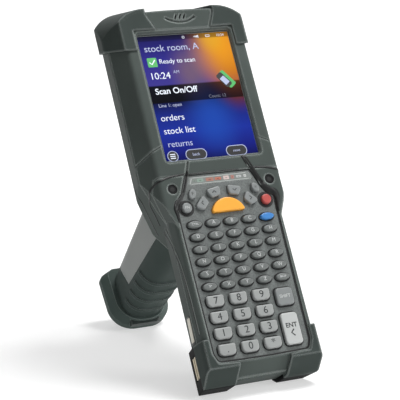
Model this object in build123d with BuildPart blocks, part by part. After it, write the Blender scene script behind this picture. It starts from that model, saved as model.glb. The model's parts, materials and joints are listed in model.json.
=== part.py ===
from build123d import *
import math
import os

os.makedirs("parts", exist_ok=True)

# Portable barcode data terminal. It is drawn flat, with X to its right, Y from the keypad towards
# the nose and Z out of the display, and is stood on its grip foot and tail when it is written.
# Zero is the middle of the seam between display and keypad, level with the touch panel's surface.
# Millimetres and degrees.

# Shell
wall = 2.0
seam_gap = 0.2
face_z = 2.4
edge_round = 2.6
corner_round = 20.0
flank_round = 9.0
back_round = 6.0
keel_round = 8.0
body_keel_round = 4.0
nose_round = 5.0
belly_round = 9.0
knee_round = 5.0

# Display
window_width = 56.4
window_length = 76.0
window_bevel = 1.3
window_round = 1.5
bezel_pad = 1.0
touch_width = 62.0
touch_length = 83.0
touch_low_y = 5.5
display_y = touch_low_y + touch_length / 2
touch_top_y = touch_low_y + touch_length
touch_thickness = 1.2
lcd_width = 60.0
lcd_length = 80.0
lcd_thickness = 3.6
lcd_leg = 2.0
lcd_leg_width = 5.0
lcd_leg_x = 26.0
lcd_leg_y = 34.0
board_thickness = 1.6
main_board_width = 61.0
main_board_length = 82.0
chip_height = 1.4
chip_size = 14.0
chip_pitch = 24.0

# Head: the display end
head_top = touch_top_y + 10.0
nose_reach = head_top + 15.0
nose_z = -34.0
chin_y = head_top + 9.5
bezel_half = 35.8
head_half = 41.0
flank_z = -13.0
back_half = 36.6
back_z = -33.0
belly_half = 25.0
belly_z = -46.0
belly_end_y = -14.0
top_arch = 1.5
top_arch_round = 400.0
plan_over = 0.4
plan_end_half = 22.0
plan_end_y = -48.0
knee_y = -2.0
shoulder_half = 34.2
shoulder_y = -20.5

# Body: the keypad end
body_half = 31.8
body_flank_z = -8.0
body_back_half = 28.6
body_back_z = -24.0
body_keel_half = 19.0
waist_y = -30.0
waist_z = -35.0
tail_y = -112.5
tail_slope_y = -104.5
tail_slope_z = -9.0
tail_z = -26.0
tail_round = 4.0
tail_slope_round = 5.0
body_top_y = 10.0

# Shell splits
module_seam_y = -24.0
body_seam_z = -8.0
body_seam_y = -36.0
seam_drop_z = -2.0
lip_thickness = 1.0
lip_rise = 2.0

# Bumpers
bumper_thickness = 2.2
bumper_face_rise = 0.9
head_bumper_gap = 0.6
head_bumper_length = 12.0
head_bumper_slant = 1.0
head_bumper_z = -30.0
tail_bumper_x = 15.0
tail_bumper_gap = 0.6
tail_bumper_y = -91.0

# Speaker
speaker_cover_y = touch_top_y - 1.7
speaker_cover_low_half = 16.0
speaker_cover_top_half = 20.0
speaker_cover_flare = 9.0
speaker_cover_z = -7.0
speaker_y = touch_top_y + 4.3
speaker_length = 20.0
speaker_width = 6.4
speaker_height = 4.2
speaker_round = 3.1
slit_count = 3
slit_length = 3.6
slit_width = 0.9
slit_pitch = 2.6
slit_y = touch_top_y + 5.7
slit_turn = 62.0
smile_half = 9.0
smile_y = touch_top_y + 5.5
smile_sag = 3.0
smile_width = 1.3
smile_depth = 1.0

# Grooves in the chin below the display
groove_width = 1.1
groove_depth = 1.0
groove_top = (16.4, 8.0)
groove_low = (19.9, -1.0)
band_line_inner = (28.6, 18.4)
band_line_outer = (48.0, 9.7)
band_line_width = 0.6
band_line_depth = 0.5

# Keypad module
panel_thickness = 1.7
panel_top_half = 19.6
panel_neck_half = 24.4
panel_neck_y = -11.0
panel_half = 28.6
panel_shoulder_y = -15.5
panel_low_y = -102.8
panel_end_y = -103.4
panel_round = 2.0
panel_side_end_y = -98.5
panel_side_end_half = 27.6
panel_end_round = 400.0
panel_low_half = 25.9
gasket_width = 1.0
gasket_fit = 0.1
gasket_sink = 0.4
ledge_width = 0.9
ledge_thickness = 1.6
keypad_board_gap = 3.0
keypad_board_thickness = 1.2
keypad_board_half = 28.7
keypad_board_top = -12.5
keypad_board_low = -100.5
keypad_tab_half = 22.0
keypad_tab_top = -5.5
dome_radius = 1.7
dome_gap = 0.05
pad_width = 1.0
pad_length = 6.0
pad_x = 28.2
pad_top_y = -24.0
pad_pitch = 34.0
pad_rows = 3

# Indicator strip
indicator_top_half = 17.6
indicator_low_half = 19.6
indicator_y = -3.5
indicator_height = 4.2
indicator_fit = 0.1
indicator_thickness = 1.5
indicator_round = 1.2

# Keys
key_rise = 2.0
key_travel = 0.9
key_fit = 0.25
key_flange = 0.9
key_flange_thickness = 0.9
key_flange_drop = 0.25
key_round = 0.7
oval_key = (5.8, 4.1)
oval_key_turn = 65.0
petal_outer_width = 9.0
petal_inner_width = 5.4
petal_height = 5.2
petal_round = 1.4
round_key_radius = 2.8
letter_key = (8.0, 3.9)
number_key = (9.8, 6.1)
number_round = 2.6
number_top_round = 1.0
shift_key = (10.0, 9.6)
enter_key = (9.8, 17.4)
big_key_round = 2.0
scan_key_half = 9.9
scan_key_height = 7.9
scan_key_y = -22.9
scan_key_round = 1.0
oval_key_place = (18.8, -11.2)
inner_petal_place = (5.9, -11.4)
inner_petal_turn = 12.0
outer_petal_place = (14.1, -17.2)
outer_petal_turn = 47.0
side_key_place = (23.7, -18.5)
letter_pitch_x = 10.77
letter_pitch_y = 6.96
letter_columns = 5
letter_rows = 6
letter_top_y = -28.3
number_pitch_x = 13.36
number_pitch_y = 8.85
number_columns = 3
number_rows = 4
number_x = -7.0
number_top_y = -71.2
shift_key_place = (19.6, -74.0)
enter_key_place = (18.9, -91.8)

# Keypad screws
keypad_screw_x = 29.0
keypad_screw_y = -7.0
keypad_screw_head = 2.75
keypad_screw_shank = 1.3
keypad_screw_length = 12.0
screw_head_height = 1.6
screw_sink = 0.5
screw_boss = 4.0
screw_fit = 0.05
keypad_boss_gap = 0.2

# Case screws
case_screw_x = 21.0
case_screw_low_y = 2.75
case_screw_high_y = touch_top_y + 3.7
case_screw_head = 2.2
case_screw_shank = 1.1
case_screw_fit = 0.3
case_screw_length = 14.0
case_screw_seat_z = -20.0
case_screw_end_z = -5.5
case_boss = 2.55
case_boss_wall = 1.3

# Boards' posts
post_radius = 3.2
post_x = 18.0
post_low_y = 14.0
post_high_y = 80.0

# Scanner
scan_width = 46.0
scan_height = 15.0
scan_centre = 28.0
scan_round = 2.0
scan_bevel = 0.9
scan_pane_margin = 2.0
scan_pane_thickness = 1.6
engine_width = 30.0
engine_height = 14.0
engine_depth = 16.0
engine_gap = 1.2
engine_lens_radius = 4.2
engine_lens_x = 7.5
engine_lens_length = 1.0
cradle_width = 26.0
cradle_length = 12.0
cradle_y = head_top + 0.5
cradle_top_z = -26.0

# Dock contacts
dock_slot_y = -81.5
dock_slot_length = 12.5
dock_slot_z = -13.0
dock_slot_height = 3.6
dock_slot_depth = 0.8
dock_slot_recess = 0.3
dock_window_length = 12.5
dock_window_y = -101.8
dock_window_z = -14.5
dock_window_height = 9.0
dock_strip_length = 11.5
dock_strip_height = 2.4
dock_strip_pitch = 4.6

# Grip: measured along its own axis from its root in the belly, and forwards from that axis
grip_root_y = 1.5
grip_root_z = -44.0
grip_lean = 11.4
grip_length = 112.0
grip_root_half_width = 17.4
grip_root_half_depth = 22.4
grip_end_half_width = 13.5
grip_end_half_depth = 17.3
grip_root_round = 13.5
grip_end_round = 10.5
grip_top = -9.0
deck_bottom = 5.0
neck_width = 18.0
neck_length = 24.0
neck_y = 3.5
neck_fit = 0.2
neck_lip = 2.5
neck_lip_thickness = 1.5
cable_width = 8.0
cable_length = 10.0
cable_y = 7.0

# Palm grip
rubber_thickness = 1.6
palm_edge_top = -11.5
palm_edge_low = -4.7
palm_tip = 89.0
collar_top = 99.0
rib_count = 4
rib_first = 64.0
rib_pitch = 12.0
rib_height = 0.8
rib_width = 3.0
rib_edge = -9.0

# Trigger
pocket_back = -4.0
pocket_low = 36.5
trigger_half = 7.0
trigger_fit = 0.4
trigger_pivot = 15.0
trigger_pivot_drop = 10.3
trigger_pin_radius = 1.5
trigger_pin_fit = 0.05
trigger_pin_half = 11.0
trigger_back = 11.0
trigger_points = [
    (trigger_back, 7.0), (17.0, 6.0), (25.5, 7.0), (27.5, 13.0), (26.0, 22.0), (28.5, 31.0),
    (26.5, 34.0), (21.0, 33.5), (trigger_back, 30.0),
]
trigger_radii = [2.0, 1.0, 3.0, 6.0, 12.0, 2.5, 1.5, 3.0, 2.0]
trigger_edge_round = 2.0
trigger_front = 13.0
trigger_pull = 10.0
coil_side = 4.0
coil_length = 2.9
coil_radius = 2.8
coil_bore = 1.7
coil_fit = 0.3
coil_leg = 0.4
coil_leg_reach = 2.25
coil_leg_inner = 2.0
coil_leg_outer = 9.0
coil_leg_room = 0.5

# Grip circuit board
grip_board_half = 7.2
grip_board_thickness = 1.4
grip_board_top = 6.0
switch_half = 3.0
switch_top = 13.0
switch_low = 21.0
switch_depth = 10.0
plunger_radius = 1.2
plunger_gap = 0.4
contact_half = 6.0
contact_depth = 6.5
contact_top = 31.0
contact_gap = 0.2

# Battery
bay_top = 39.0
bay_half_width = 10.2
bay_half_depth = 12.0
bay_round = 5.0
battery_fit = 0.3
battery_top_gap = 0.3
battery_edge_round = 2.0

# Battery cap: the grip's foot
cap_gap = 0.3
cap_thickness = 15.5
cap_half = 20.0
cap_waist = 16.4
cap_toe = 18.8
cap_heel = 20.0
cap_top_heel = 19.2
cap_flare = 6.0
cap_wall_low = 10.0
cap_taper = 30.0
cap_toe_round = 5.0
cap_heel_round = 15.0
cap_low_round = 2.0

# Battery latch
latch_half = 9.5
latch_height = 3.0
latch_drop = 1.8
latch_depth = 6.8
latch_rise = 0.9
latch_fit = 0.3
latch_travel = 1.5
tongue_half = 4.0
tongue_thickness = 1.4
tongue_reach = 1.3

# Grip screws
grip_screw_forward = -6.8
grip_screw_high = 12.0
grip_screw_low = 31.0
grip_screw_head = 2.0
grip_screw_shank = 1.0
grip_screw_seat = 14.0
grip_screw_length = 22.0

# Flats that the terminal rests on
rest_flat = 0.5


def mirrored(right):
    """An outline given on its right side only, with its left side added."""
    return list(right) + [(-x, y) for x, y in reversed(right)]


def outline(points, radii):
    """Face of a closed outline with rounded corners, drawn in the sketch it is called in."""
    with BuildLine() as path:
        FilletPolyline(*points, radius=radii, close=True)
    make_face(path.edges())


side_top = face_z + plan_over
side_points = [
    (head_top, side_top), (nose_reach, nose_z), (chin_y, belly_z), (belly_end_y, belly_z),
    (waist_y, waist_z), (tail_y, tail_z), (tail_y, tail_slope_z), (tail_slope_y, side_top),
]
side_radii = [edge_round, nose_round, nose_round, belly_round, belly_round,
              tail_round, tail_slope_round, edge_round]
head_points = mirrored([(bezel_half, face_z), (head_half, flank_z), (back_half, back_z),
                        (belly_half, belly_z)])
head_radii = [edge_round, flank_round, back_round, keel_round,
              keel_round, back_round, flank_round, edge_round]
body_points = mirrored([(body_half, face_z), (body_half, body_flank_z),
                        (body_back_half, body_back_z), (body_keel_half, waist_z)])
body_radii = [edge_round, back_round, back_round, body_keel_round,
              body_keel_round, back_round, back_round, edge_round]
plan_points = [(0, head_top + plan_over)] + mirrored([
    (head_half + plan_over, head_top - top_arch), (head_half + plan_over, knee_y),
    (shoulder_half, shoulder_y), (plan_end_half, plan_end_y),
])
plan_radii = [top_arch_round, corner_round, knee_round, knee_round, 0.0,
              0.0, knee_round, knee_round, corner_round]
nose_slope = Vector(0, nose_reach - head_top, nose_z - side_top)
far = 2 * head_top


def swept_section(points, radii, low, high, grow):
    """A cross-section carried straight along Y from low to high."""
    with BuildPart() as swept:
        with BuildSketch(Plane.XZ.offset(-high)):
            outline(points, radii)
            if grow:
                offset(amount=grow)
        extrude(amount=high - low)
    return swept.part


def side_prism(grow):
    """The terminal's side view carried across its whole width."""
    with BuildPart() as prism:
        with BuildSketch(Plane.YZ):
            outline(side_points, side_radii)
            if grow:
                offset(amount=grow)
        extrude(amount=far, both=True)
    return prism.part


def terminal_form(grow=0.0):
    """The terminal's form without its grip, grown outwards by an offset."""
    prism = side_prism(grow)
    with BuildPart() as body:
        add(swept_section(body_points, body_radii, tail_y - far, body_top_y, grow))
        add(prism, mode=Mode.INTERSECT)
    with BuildPart() as whole:
        add(swept_section(head_points, head_radii, plan_end_y, far, grow))
        with BuildSketch(Plane.XY.offset(side_top)):
            outline(plan_points, plan_radii)
            if grow:
                offset(amount=grow)
        extrude(amount=far, dir=nose_slope, both=True, mode=Mode.INTERSECT)
        add(prism, mode=Mode.INTERSECT)
        add(body.part)
    return whole.part


def side_region(points, shrink=0.0):
    """A prism across the whole width over an outline drawn in side view."""
    with BuildPart() as region:
        with BuildSketch(Plane.YZ):
            with BuildLine():
                Polyline(*points, close=True)
            make_face()
            if shrink:
                offset(amount=-shrink, kind=Kind.INTERSECTION)
        extrude(amount=far, both=True)
    return region.part


outer_form = terminal_form()
inner_form = terminal_form(-wall)
lip_form = terminal_form(-wall - lip_thickness)
bumper_form = terminal_form(bumper_thickness)
groove_form = terminal_form(-band_line_depth)
pieces = {}

front_region = side_region([
    (0, far), (0, seam_drop_z), (module_seam_y, flank_z), (far, flank_z), (far, far),
], seam_gap / 2)
module_region = side_region([
    (0, far), (0, seam_drop_z), (module_seam_y, flank_z), (waist_y, flank_z),
    (body_seam_y, body_seam_z), (-far, body_seam_z), (-far, far),
], seam_gap / 2)
rear_region = side_region([
    (far, flank_z), (waist_y, flank_z), (body_seam_y, body_seam_z), (-far, body_seam_z),
    (-far, -far), (far, -far),
], seam_gap / 2)
lip_region = side_region([
    (far, flank_z + lip_rise), (waist_y, flank_z + lip_rise), (body_seam_y, body_seam_z + lip_rise),
    (-far, body_seam_z + lip_rise), (-far, body_seam_z - lip_rise),
    (body_seam_y, body_seam_z - lip_rise), (waist_y, flank_z - lip_rise), (far, flank_z - lip_rise),
])

with BuildPart() as shell:
    add(outer_form)
    add(inner_form, mode=Mode.SUBTRACT)

# The nose face slopes away from the display; its plane starts at the front edge of the head
nose_normal = Vector(0, -nose_slope.Z, nose_slope.Y).normalized()
nose_plane = Plane(origin=(0, head_top, side_top), x_dir=(1, 0, 0), z_dir=nose_normal)

# Levels below the front face
inner_face_z = face_z - wall
lcd_top_z = -touch_thickness
lcd_low_z = lcd_top_z - lcd_thickness
main_board_top_z = lcd_low_z - lcd_leg
main_board_low_z = main_board_top_z - board_thickness
keypad_board_z = -keypad_board_gap
flange_low_z = -key_flange_drop - key_flange_thickness
key_top_z = panel_thickness + key_rise
dome_top_z = flange_low_z - key_travel - dome_gap
keypad_boss_z = keypad_board_z - keypad_board_thickness

# Speaker cover


def speaker_region(grow=0.0):
    """The wedge of the head's top that the speaker cover fills."""
    wedge = mirrored([
        (speaker_cover_top_half, far), (speaker_cover_top_half, speaker_cover_y + speaker_cover_flare),
        (speaker_cover_low_half, speaker_cover_y),
    ])
    with BuildPart() as region:
        with BuildSketch(Plane.XY.offset(speaker_cover_z - grow)):
            with BuildLine():
                Polyline(*wedge, close=True)
            make_face()
            if grow:
                offset(amount=grow, kind=Kind.INTERSECTION)
        extrude(amount=far)
    return region.part


cover_wedge = speaker_region()
cover_cutout = speaker_region(seam_gap)
with BuildPart() as speaker_cover:
    add(shell.part)
    add(cover_wedge, mode=Mode.INTERSECT)
    with BuildSketch(Plane.XY.offset(face_z)):
        with Locations((0, slit_y)):
            with GridLocations(slit_pitch, 0, slit_count, 1):
                SlotOverall(slit_length, slit_width, rotation=slit_turn)
    extrude(amount=-2 * wall, mode=Mode.SUBTRACT)
    with BuildSketch(Plane.XY.offset(face_z)):
        with BuildLine() as smile:
            ThreePointArc((-smile_half, smile_y), (0, smile_y - smile_sag), (smile_half, smile_y))
        trace(smile.edges(), line_width=smile_width)
    extrude(amount=-smile_depth, mode=Mode.SUBTRACT)
pieces["speaker_cover"] = speaker_cover.part

with BuildPart() as speaker:
    with BuildSketch(Plane.XY.offset(inner_face_z)):
        with Locations((0, speaker_y)):
            RectangleRounded(speaker_length, speaker_width, speaker_round)
    extrude(amount=-speaker_height)
pieces["speaker"] = speaker.part

# Front housing

case_screw_spots = [(side * case_screw_x, y) for side in (-1, 1)
                    for y in (case_screw_low_y, case_screw_high_y)]
front_boss_end_z = flank_z - seam_gap

with BuildPart() as band_lines:
    with BuildSketch(Plane.XY.offset(flank_z)):
        for side in (-1, 1):
            with BuildLine() as band_line:
                Line((side * band_line_inner[0], band_line_inner[1]),
                     (side * band_line_outer[0], band_line_outer[1]))
            trace(band_line.edges(), line_width=band_line_width)
    extrude(amount=far)
    add(groove_form, mode=Mode.SUBTRACT)

with BuildPart() as front_housing:
    add(shell.part)
    add(front_region, mode=Mode.INTERSECT)
    add(cover_cutout, mode=Mode.SUBTRACT)
    add(band_lines.part, mode=Mode.SUBTRACT)
    with BuildSketch(Plane.XY):
        with Locations((0, display_y)):
            Rectangle(touch_width + 2 * bezel_pad, touch_length + 2 * bezel_pad)
    extrude(amount=inner_face_z)
    with BuildSketch(Plane.XY.offset(inner_face_z)):
        with Locations(*case_screw_spots):
            Circle(case_boss)
    extrude(amount=front_boss_end_z - inner_face_z)
    with BuildSketch(Plane.XY.offset(front_boss_end_z)):
        with Locations(*case_screw_spots):
            Circle(case_screw_shank + screw_fit)
    extrude(amount=case_screw_end_z - front_boss_end_z, mode=Mode.SUBTRACT)
    with BuildSketch(Plane.XY):
        with Locations((0, display_y)):
            RectangleRounded(window_width, window_length, window_round)
    extrude(amount=far, mode=Mode.SUBTRACT)
    with BuildSketch(Plane.XY.offset(face_z)):
        with Locations((0, display_y)):
            RectangleRounded(window_width + 2 * window_bevel, window_length + 2 * window_bevel,
                             window_round + window_bevel)
    extrude(amount=-window_bevel, taper=45, mode=Mode.SUBTRACT)
    with BuildSketch(Plane.XY.offset(face_z)):
        for side in (-1, 1):
            with BuildLine() as groove:
                Line((side * groove_top[0], groove_top[1]), (side * groove_low[0], groove_low[1]))
            trace(groove.edges(), line_width=groove_width)
    extrude(amount=-groove_depth, mode=Mode.SUBTRACT)
pieces["front_housing"] = front_housing.part

# Bumpers


def bumper_part(points, low, slope):
    """Rubber over one stretch of the outer form, within an outline carried back from its raised face."""
    face = face_z + bumper_face_rise
    with BuildPart() as bumper:
        add(bumper_form)
        add(outer_form, mode=Mode.SUBTRACT)
        with BuildSketch(Plane.XY.offset(face)):
            with BuildLine() as edge:
                Polyline(*points, close=True)
            make_face(edge.edges())
        extrude(amount=(low - face) / slope.normalized().Z, dir=slope, mode=Mode.INTERSECT)
    return bumper.part


window_edge_x = window_width / 2 + window_bevel + head_bumper_gap
window_edge_y = display_y + window_length / 2 + window_bevel + head_bumper_gap
cover_slope_y = speaker_cover_y + speaker_cover_flare
head_bumper_low_y = window_edge_y - head_bumper_length
head_bumper_points = [
    (speaker_cover_top_half + head_bumper_gap, far),
    (speaker_cover_top_half + head_bumper_gap, cover_slope_y),
    (speaker_cover_low_half + head_bumper_gap, window_edge_y),
    (window_edge_x, window_edge_y), (window_edge_x, head_bumper_low_y),
    (2 * head_half, head_bumper_low_y + head_bumper_slant), (2 * head_half, far),
]
gasket_gap = gasket_fit + gasket_width + tail_bumper_gap
tail_bumper_points = [
    (tail_bumper_x, -far), (tail_bumper_x, panel_end_y - gasket_gap),
    (panel_low_half + gasket_gap / 2, panel_low_y - gasket_gap),
    (panel_side_end_half + gasket_gap, panel_side_end_y),
    (panel_side_end_half + gasket_gap, tail_bumper_y), (2 * head_half, tail_bumper_y),
    (2 * head_half, -far),
]
for side, side_name in ((-1, "left"), (1, "right")):
    pieces[side_name + "_head_bumper"] = bumper_part(
        [(side * x, y) for x, y in head_bumper_points], head_bumper_z, nose_slope)
    pieces[side_name + "_tail_bumper"] = bumper_part(
        [(side * x, y) for x, y in tail_bumper_points], 2 * belly_z, Vector(0, 0, -1))

# Display

with BuildPart() as touch_panel:
    with BuildSketch(Plane.XY):
        with Locations((0, display_y)):
            Rectangle(touch_width, touch_length)
    extrude(amount=-touch_thickness)
pieces["touch_panel"] = touch_panel.part

with BuildPart() as lcd_module:
    with BuildSketch(Plane.XY.offset(lcd_top_z)):
        with Locations((0, display_y)):
            Rectangle(lcd_width, lcd_length)
    extrude(amount=-lcd_thickness)
    with BuildSketch(Plane.XY.offset(lcd_low_z)):
        with Locations((0, display_y)):
            with GridLocations(2 * lcd_leg_x, 2 * lcd_leg_y, 2, 2):
                Rectangle(lcd_leg_width, lcd_leg_width)
    extrude(amount=-lcd_leg)
pieces["lcd_module"] = lcd_module.part

with BuildPart() as main_circuit_board:
    with BuildSketch(Plane.XY.offset(main_board_top_z)):
        with Locations((0, display_y)):
            Rectangle(main_board_width, main_board_length)
    extrude(amount=-board_thickness)
    with BuildSketch(Plane.XY.offset(main_board_low_z)):
        with Locations((0, display_y)):
            with GridLocations(0, chip_pitch, 1, 2):
                Rectangle(chip_size, chip_size)
    extrude(amount=-chip_height)
pieces["main_circuit_board"] = main_circuit_board.part

# Keys

keys = {
    "left_app_key": [("oval", (-oval_key_place[0], oval_key_place[1]), oval_key_turn)],
    "right_app_key": [("oval", oval_key_place, -oval_key_turn)],
    "nav_left_key": [("petal", (-outer_petal_place[0], outer_petal_place[1]), outer_petal_turn)],
    "nav_up_key": [("petal", (-inner_petal_place[0], inner_petal_place[1]), inner_petal_turn)],
    "nav_down_key": [("petal", inner_petal_place, -inner_petal_turn)],
    "nav_right_key": [("petal", outer_petal_place, -outer_petal_turn)],
    "scan_key": [("scan", (0, scan_key_y), 0)],
    "function_key": [("round", (-side_key_place[0], side_key_place[1]), 0)],
    "power_key": [("round", side_key_place, 0)],
    "shift_key": [("shift", shift_key_place, 0)],
    "enter_key": [("enter", enter_key_place, 0)],
}
number_names = [["key_7", "key_8", "key_9"], ["key_4", "key_5", "key_6"],
                ["key_1", "key_2", "key_3"], ["point_key", "key_0", "star_key"]]
for row in range(number_rows):
    for column in range(number_columns):
        spot = (number_x + (column - (number_columns - 1) / 2) * number_pitch_x,
                number_top_y - row * number_pitch_y)
        keys[number_names[row][column]] = [("number", spot, 0)]
for column in range(letter_columns):
    column_x = (column - (letter_columns - 1) / 2) * letter_pitch_x
    column_keys = [("letter", (column_x, letter_top_y - row * letter_pitch_y), 0)
                   for row in range(letter_rows)]
    if column == letter_columns - 1:
        keys["blue_key"] = column_keys[:1]
        column_keys = column_keys[1:]
    keys[f"letter_keys_column_{column + 1}"] = column_keys
all_keys = [key for group in keys.values() for key in group]


def draw_key(kind, grow=0.0):
    """Outline of a key about its own centre, grown by an offset, in the sketch it is called in."""
    if kind == "scan":
        with BuildLine() as dome:
            arch = ThreePointArc((-scan_key_half, 0), (0, scan_key_height), (scan_key_half, 0))
            Line(arch @ 1, arch @ 0)
        make_face(dome.edges())
        offset(amount=-scan_key_round)
        offset(amount=scan_key_round + grow)
    elif kind == "number":
        half = number_key[0] / 2 + grow
        rise = number_key[1] / 2 + grow
        top = number_top_round + grow
        low = number_round + grow
        outline([(-half, rise), (half, rise), (half, -rise), (-half, -rise)], [top, top, low, low])
    elif kind == "round":
        Circle(round_key_radius + grow)
    elif kind == "oval":
        Ellipse(oval_key[0] / 2 + grow, oval_key[1] / 2 + grow)
    elif kind == "letter":
        Ellipse(letter_key[0] / 2 + grow, letter_key[1] / 2 + grow)
    elif kind == "petal":
        outline(mirrored([(petal_outer_width / 2, petal_height / 2),
                          (petal_inner_width / 2, -petal_height / 2)]), [petal_round] * 4)
        if grow:
            offset(amount=grow)
    elif kind == "shift":
        RectangleRounded(shift_key[0] + 2 * grow, shift_key[1] + 2 * grow, big_key_round + grow)
    elif kind == "enter":
        RectangleRounded(enter_key[0] + 2 * grow, enter_key[1] + 2 * grow, big_key_round + grow)


def key_level(place, turn, level):
    """Plane of one key's outline at a level, turned in its own plane."""
    angle = math.radians(turn)
    return Plane(origin=(*place, level), x_dir=(math.cos(angle), math.sin(angle), 0))


for key_name, group in keys.items():
    with BuildPart() as key_group:
        for kind, place, turn in group:
            with BuildSketch(key_level(place, turn, flange_low_z)):
                draw_key(kind, key_flange)
            extrude(amount=key_flange_thickness)
            with BuildSketch(key_level(place, turn, flange_low_z)):
                draw_key(kind)
            extrude(amount=key_top_z - flange_low_z)
        fillet(key_group.faces().group_by(Axis.Z)[-1].edges(), radius=key_round)
    pieces[key_name] = key_group.part

# Keypad module

panel_right = [(panel_top_half, -1.5 * seam_gap), (panel_neck_half, panel_neck_y),
               (panel_half, panel_shoulder_y), (panel_side_end_half, panel_side_end_y),
               (panel_low_half, panel_low_y)]
panel_points = panel_right + [(0, panel_end_y)] + [(-x, y) for x, y in reversed(panel_right)]
panel_radii = [0.0, gasket_width, gasket_width, panel_round, panel_round, panel_end_round,
               panel_round, panel_round, gasket_width, gasket_width, 0.0]
gasket_reach = gasket_fit + gasket_width
indicator_points = mirrored([(indicator_top_half, indicator_y + indicator_height / 2),
                             (indicator_low_half, indicator_y - indicator_height / 2)])

with BuildPart() as keypad_frame:
    with BuildSketch(Plane.XY.offset(-ledge_thickness)):
        outline(panel_points, panel_radii)
        offset(amount=gasket_reach + ledge_width)
    extrude(amount=ledge_thickness + inner_face_z)
    with BuildSketch(Plane.XY.offset(inner_face_z)):
        with Locations((-keypad_screw_x, keypad_screw_y), (keypad_screw_x, keypad_screw_y)):
            Circle(screw_boss)
    extrude(amount=keypad_boss_z - inner_face_z)
    with BuildSketch(Plane.XY.offset(-ledge_thickness)):
        with Locations((0, pad_top_y - (pad_rows - 1) * pad_pitch / 2)):
            with GridLocations(2 * pad_x, pad_pitch, 2, pad_rows):
                Rectangle(pad_width, pad_length)
    extrude(amount=keypad_board_z + ledge_thickness)
    add(inner_form, mode=Mode.INTERSECT)
    add(shell.part)
    add(module_region, mode=Mode.INTERSECT)
    with BuildSketch(Plane.XY):
        outline(panel_points, panel_radii)
        offset(amount=gasket_reach)
    extrude(amount=far, mode=Mode.SUBTRACT)
    with BuildSketch(Plane.XY.offset(-ledge_thickness)):
        outline(panel_points, panel_radii)
        offset(amount=-ledge_width)
    extrude(amount=far, mode=Mode.SUBTRACT)
    with Locations((-keypad_screw_x, keypad_screw_y, face_z), (keypad_screw_x, keypad_screw_y, face_z)):
        CounterBoreHole(keypad_screw_shank + case_screw_fit, keypad_screw_head + screw_fit,
                        screw_head_height + screw_sink)
pieces["keypad_frame"] = keypad_frame.part

with BuildPart() as keypad_screws:
    with BuildSketch(Plane.XY.offset(face_z - screw_sink)):
        with Locations((-keypad_screw_x, keypad_screw_y), (keypad_screw_x, keypad_screw_y)):
            Circle(keypad_screw_head)
    extrude(amount=-screw_head_height)
    with BuildSketch(Plane.XY.offset(face_z - screw_sink)):
        with Locations((-keypad_screw_x, keypad_screw_y), (keypad_screw_x, keypad_screw_y)):
            Circle(keypad_screw_shank)
    extrude(amount=-screw_head_height - keypad_screw_length)
pieces["keypad_screws"] = keypad_screws.part

with BuildPart() as keypad_gasket:
    with BuildSketch(Plane.XY):
        outline(panel_points, panel_radii)
        offset(amount=gasket_reach)
    extrude(amount=face_z - gasket_sink)
    with BuildSketch(Plane.XY):
        outline(panel_points, panel_radii)
        offset(amount=gasket_fit)
    extrude(amount=far, mode=Mode.SUBTRACT)
    add(module_region, mode=Mode.INTERSECT)
pieces["keypad_gasket"] = keypad_gasket.part

with BuildPart() as keypad_panel:
    with BuildSketch(Plane.XY):
        outline(panel_points, panel_radii)
    extrude(amount=panel_thickness)
    for kind, place, turn in all_keys:
        with BuildSketch(key_level(place, turn, 0)):
            draw_key(kind, key_fit)
        extrude(amount=panel_thickness, mode=Mode.SUBTRACT)
    with BuildSketch(Plane.XY.offset(panel_thickness)):
        outline(indicator_points, [indicator_round] * len(indicator_points))
        offset(amount=indicator_fit)
    extrude(amount=-indicator_thickness, mode=Mode.SUBTRACT)
pieces["keypad_panel"] = keypad_panel.part

with BuildPart() as indicator_window:
    with BuildSketch(Plane.XY.offset(panel_thickness)):
        outline(indicator_points, [indicator_round] * len(indicator_points))
    extrude(amount=-indicator_thickness)
pieces["indicator_window"] = indicator_window.part

with BuildPart() as keypad_circuit_board:
    with BuildSketch(Plane.XY.offset(keypad_board_z)):
        with Locations((0, (keypad_board_top + keypad_board_low) / 2)):
            Rectangle(2 * keypad_board_half, keypad_board_top - keypad_board_low)
        with Locations((0, (keypad_tab_top + keypad_board_top) / 2)):
            Rectangle(2 * keypad_tab_half, keypad_tab_top - keypad_board_top)
    extrude(amount=-keypad_board_thickness)
    with BuildSketch(Plane.XY.offset(keypad_board_z)):
        with Locations(*[place for kind, place, turn in all_keys if kind != "scan"]):
            Circle(dome_radius)
        with Locations((0, scan_key_y + scan_key_height / 2)):
            Circle(dome_radius)
    extrude(amount=dome_top_z - keypad_board_z)
pieces["keypad_circuit_board"] = keypad_circuit_board.part

# Scanner

engine_front = -wall - scan_pane_thickness - engine_gap


with BuildPart() as engine_block:
    with BuildSketch(nose_plane.offset(engine_front)):
        with Locations((0, scan_centre)):
            Rectangle(engine_width, engine_height)
    extrude(amount=-engine_depth)

with BuildPart() as scan_engine:
    add(engine_block.part)
    with BuildSketch(nose_plane.offset(engine_front)):
        with Locations((-engine_lens_x, scan_centre), (engine_lens_x, scan_centre)):
            Circle(engine_lens_radius)
    extrude(amount=engine_lens_length)
pieces["scan_engine"] = scan_engine.part

with BuildPart() as scan_window:
    with BuildSketch(nose_plane.offset(-wall)):
        with Locations((0, scan_centre)):
            Rectangle(scan_width + 2 * scan_pane_margin, scan_height + 2 * scan_pane_margin)
    extrude(amount=-scan_pane_thickness)
pieces["scan_window"] = scan_window.part

# Rear housing

keypad_boss_top_z = keypad_boss_z - keypad_boss_gap
flank_turn = math.atan2(body_half - body_back_half, body_flank_z - body_back_z)
dock_slot_x = body_half - (body_flank_z - dock_slot_z) * math.tan(flank_turn)
dock_slot_plane = Plane(origin=(-dock_slot_x, dock_slot_y, dock_slot_z), x_dir=(0, -1, 0),
                        z_dir=(-math.cos(flank_turn), 0, -math.sin(flank_turn)))
posts_low_z = belly_z + wall / 2
post_spots = [(side * post_x, y) for side in (-1, 1) for y in (post_low_y, post_high_y)]

case_boss_radius = case_screw_head + case_screw_fit + case_boss_wall

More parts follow.
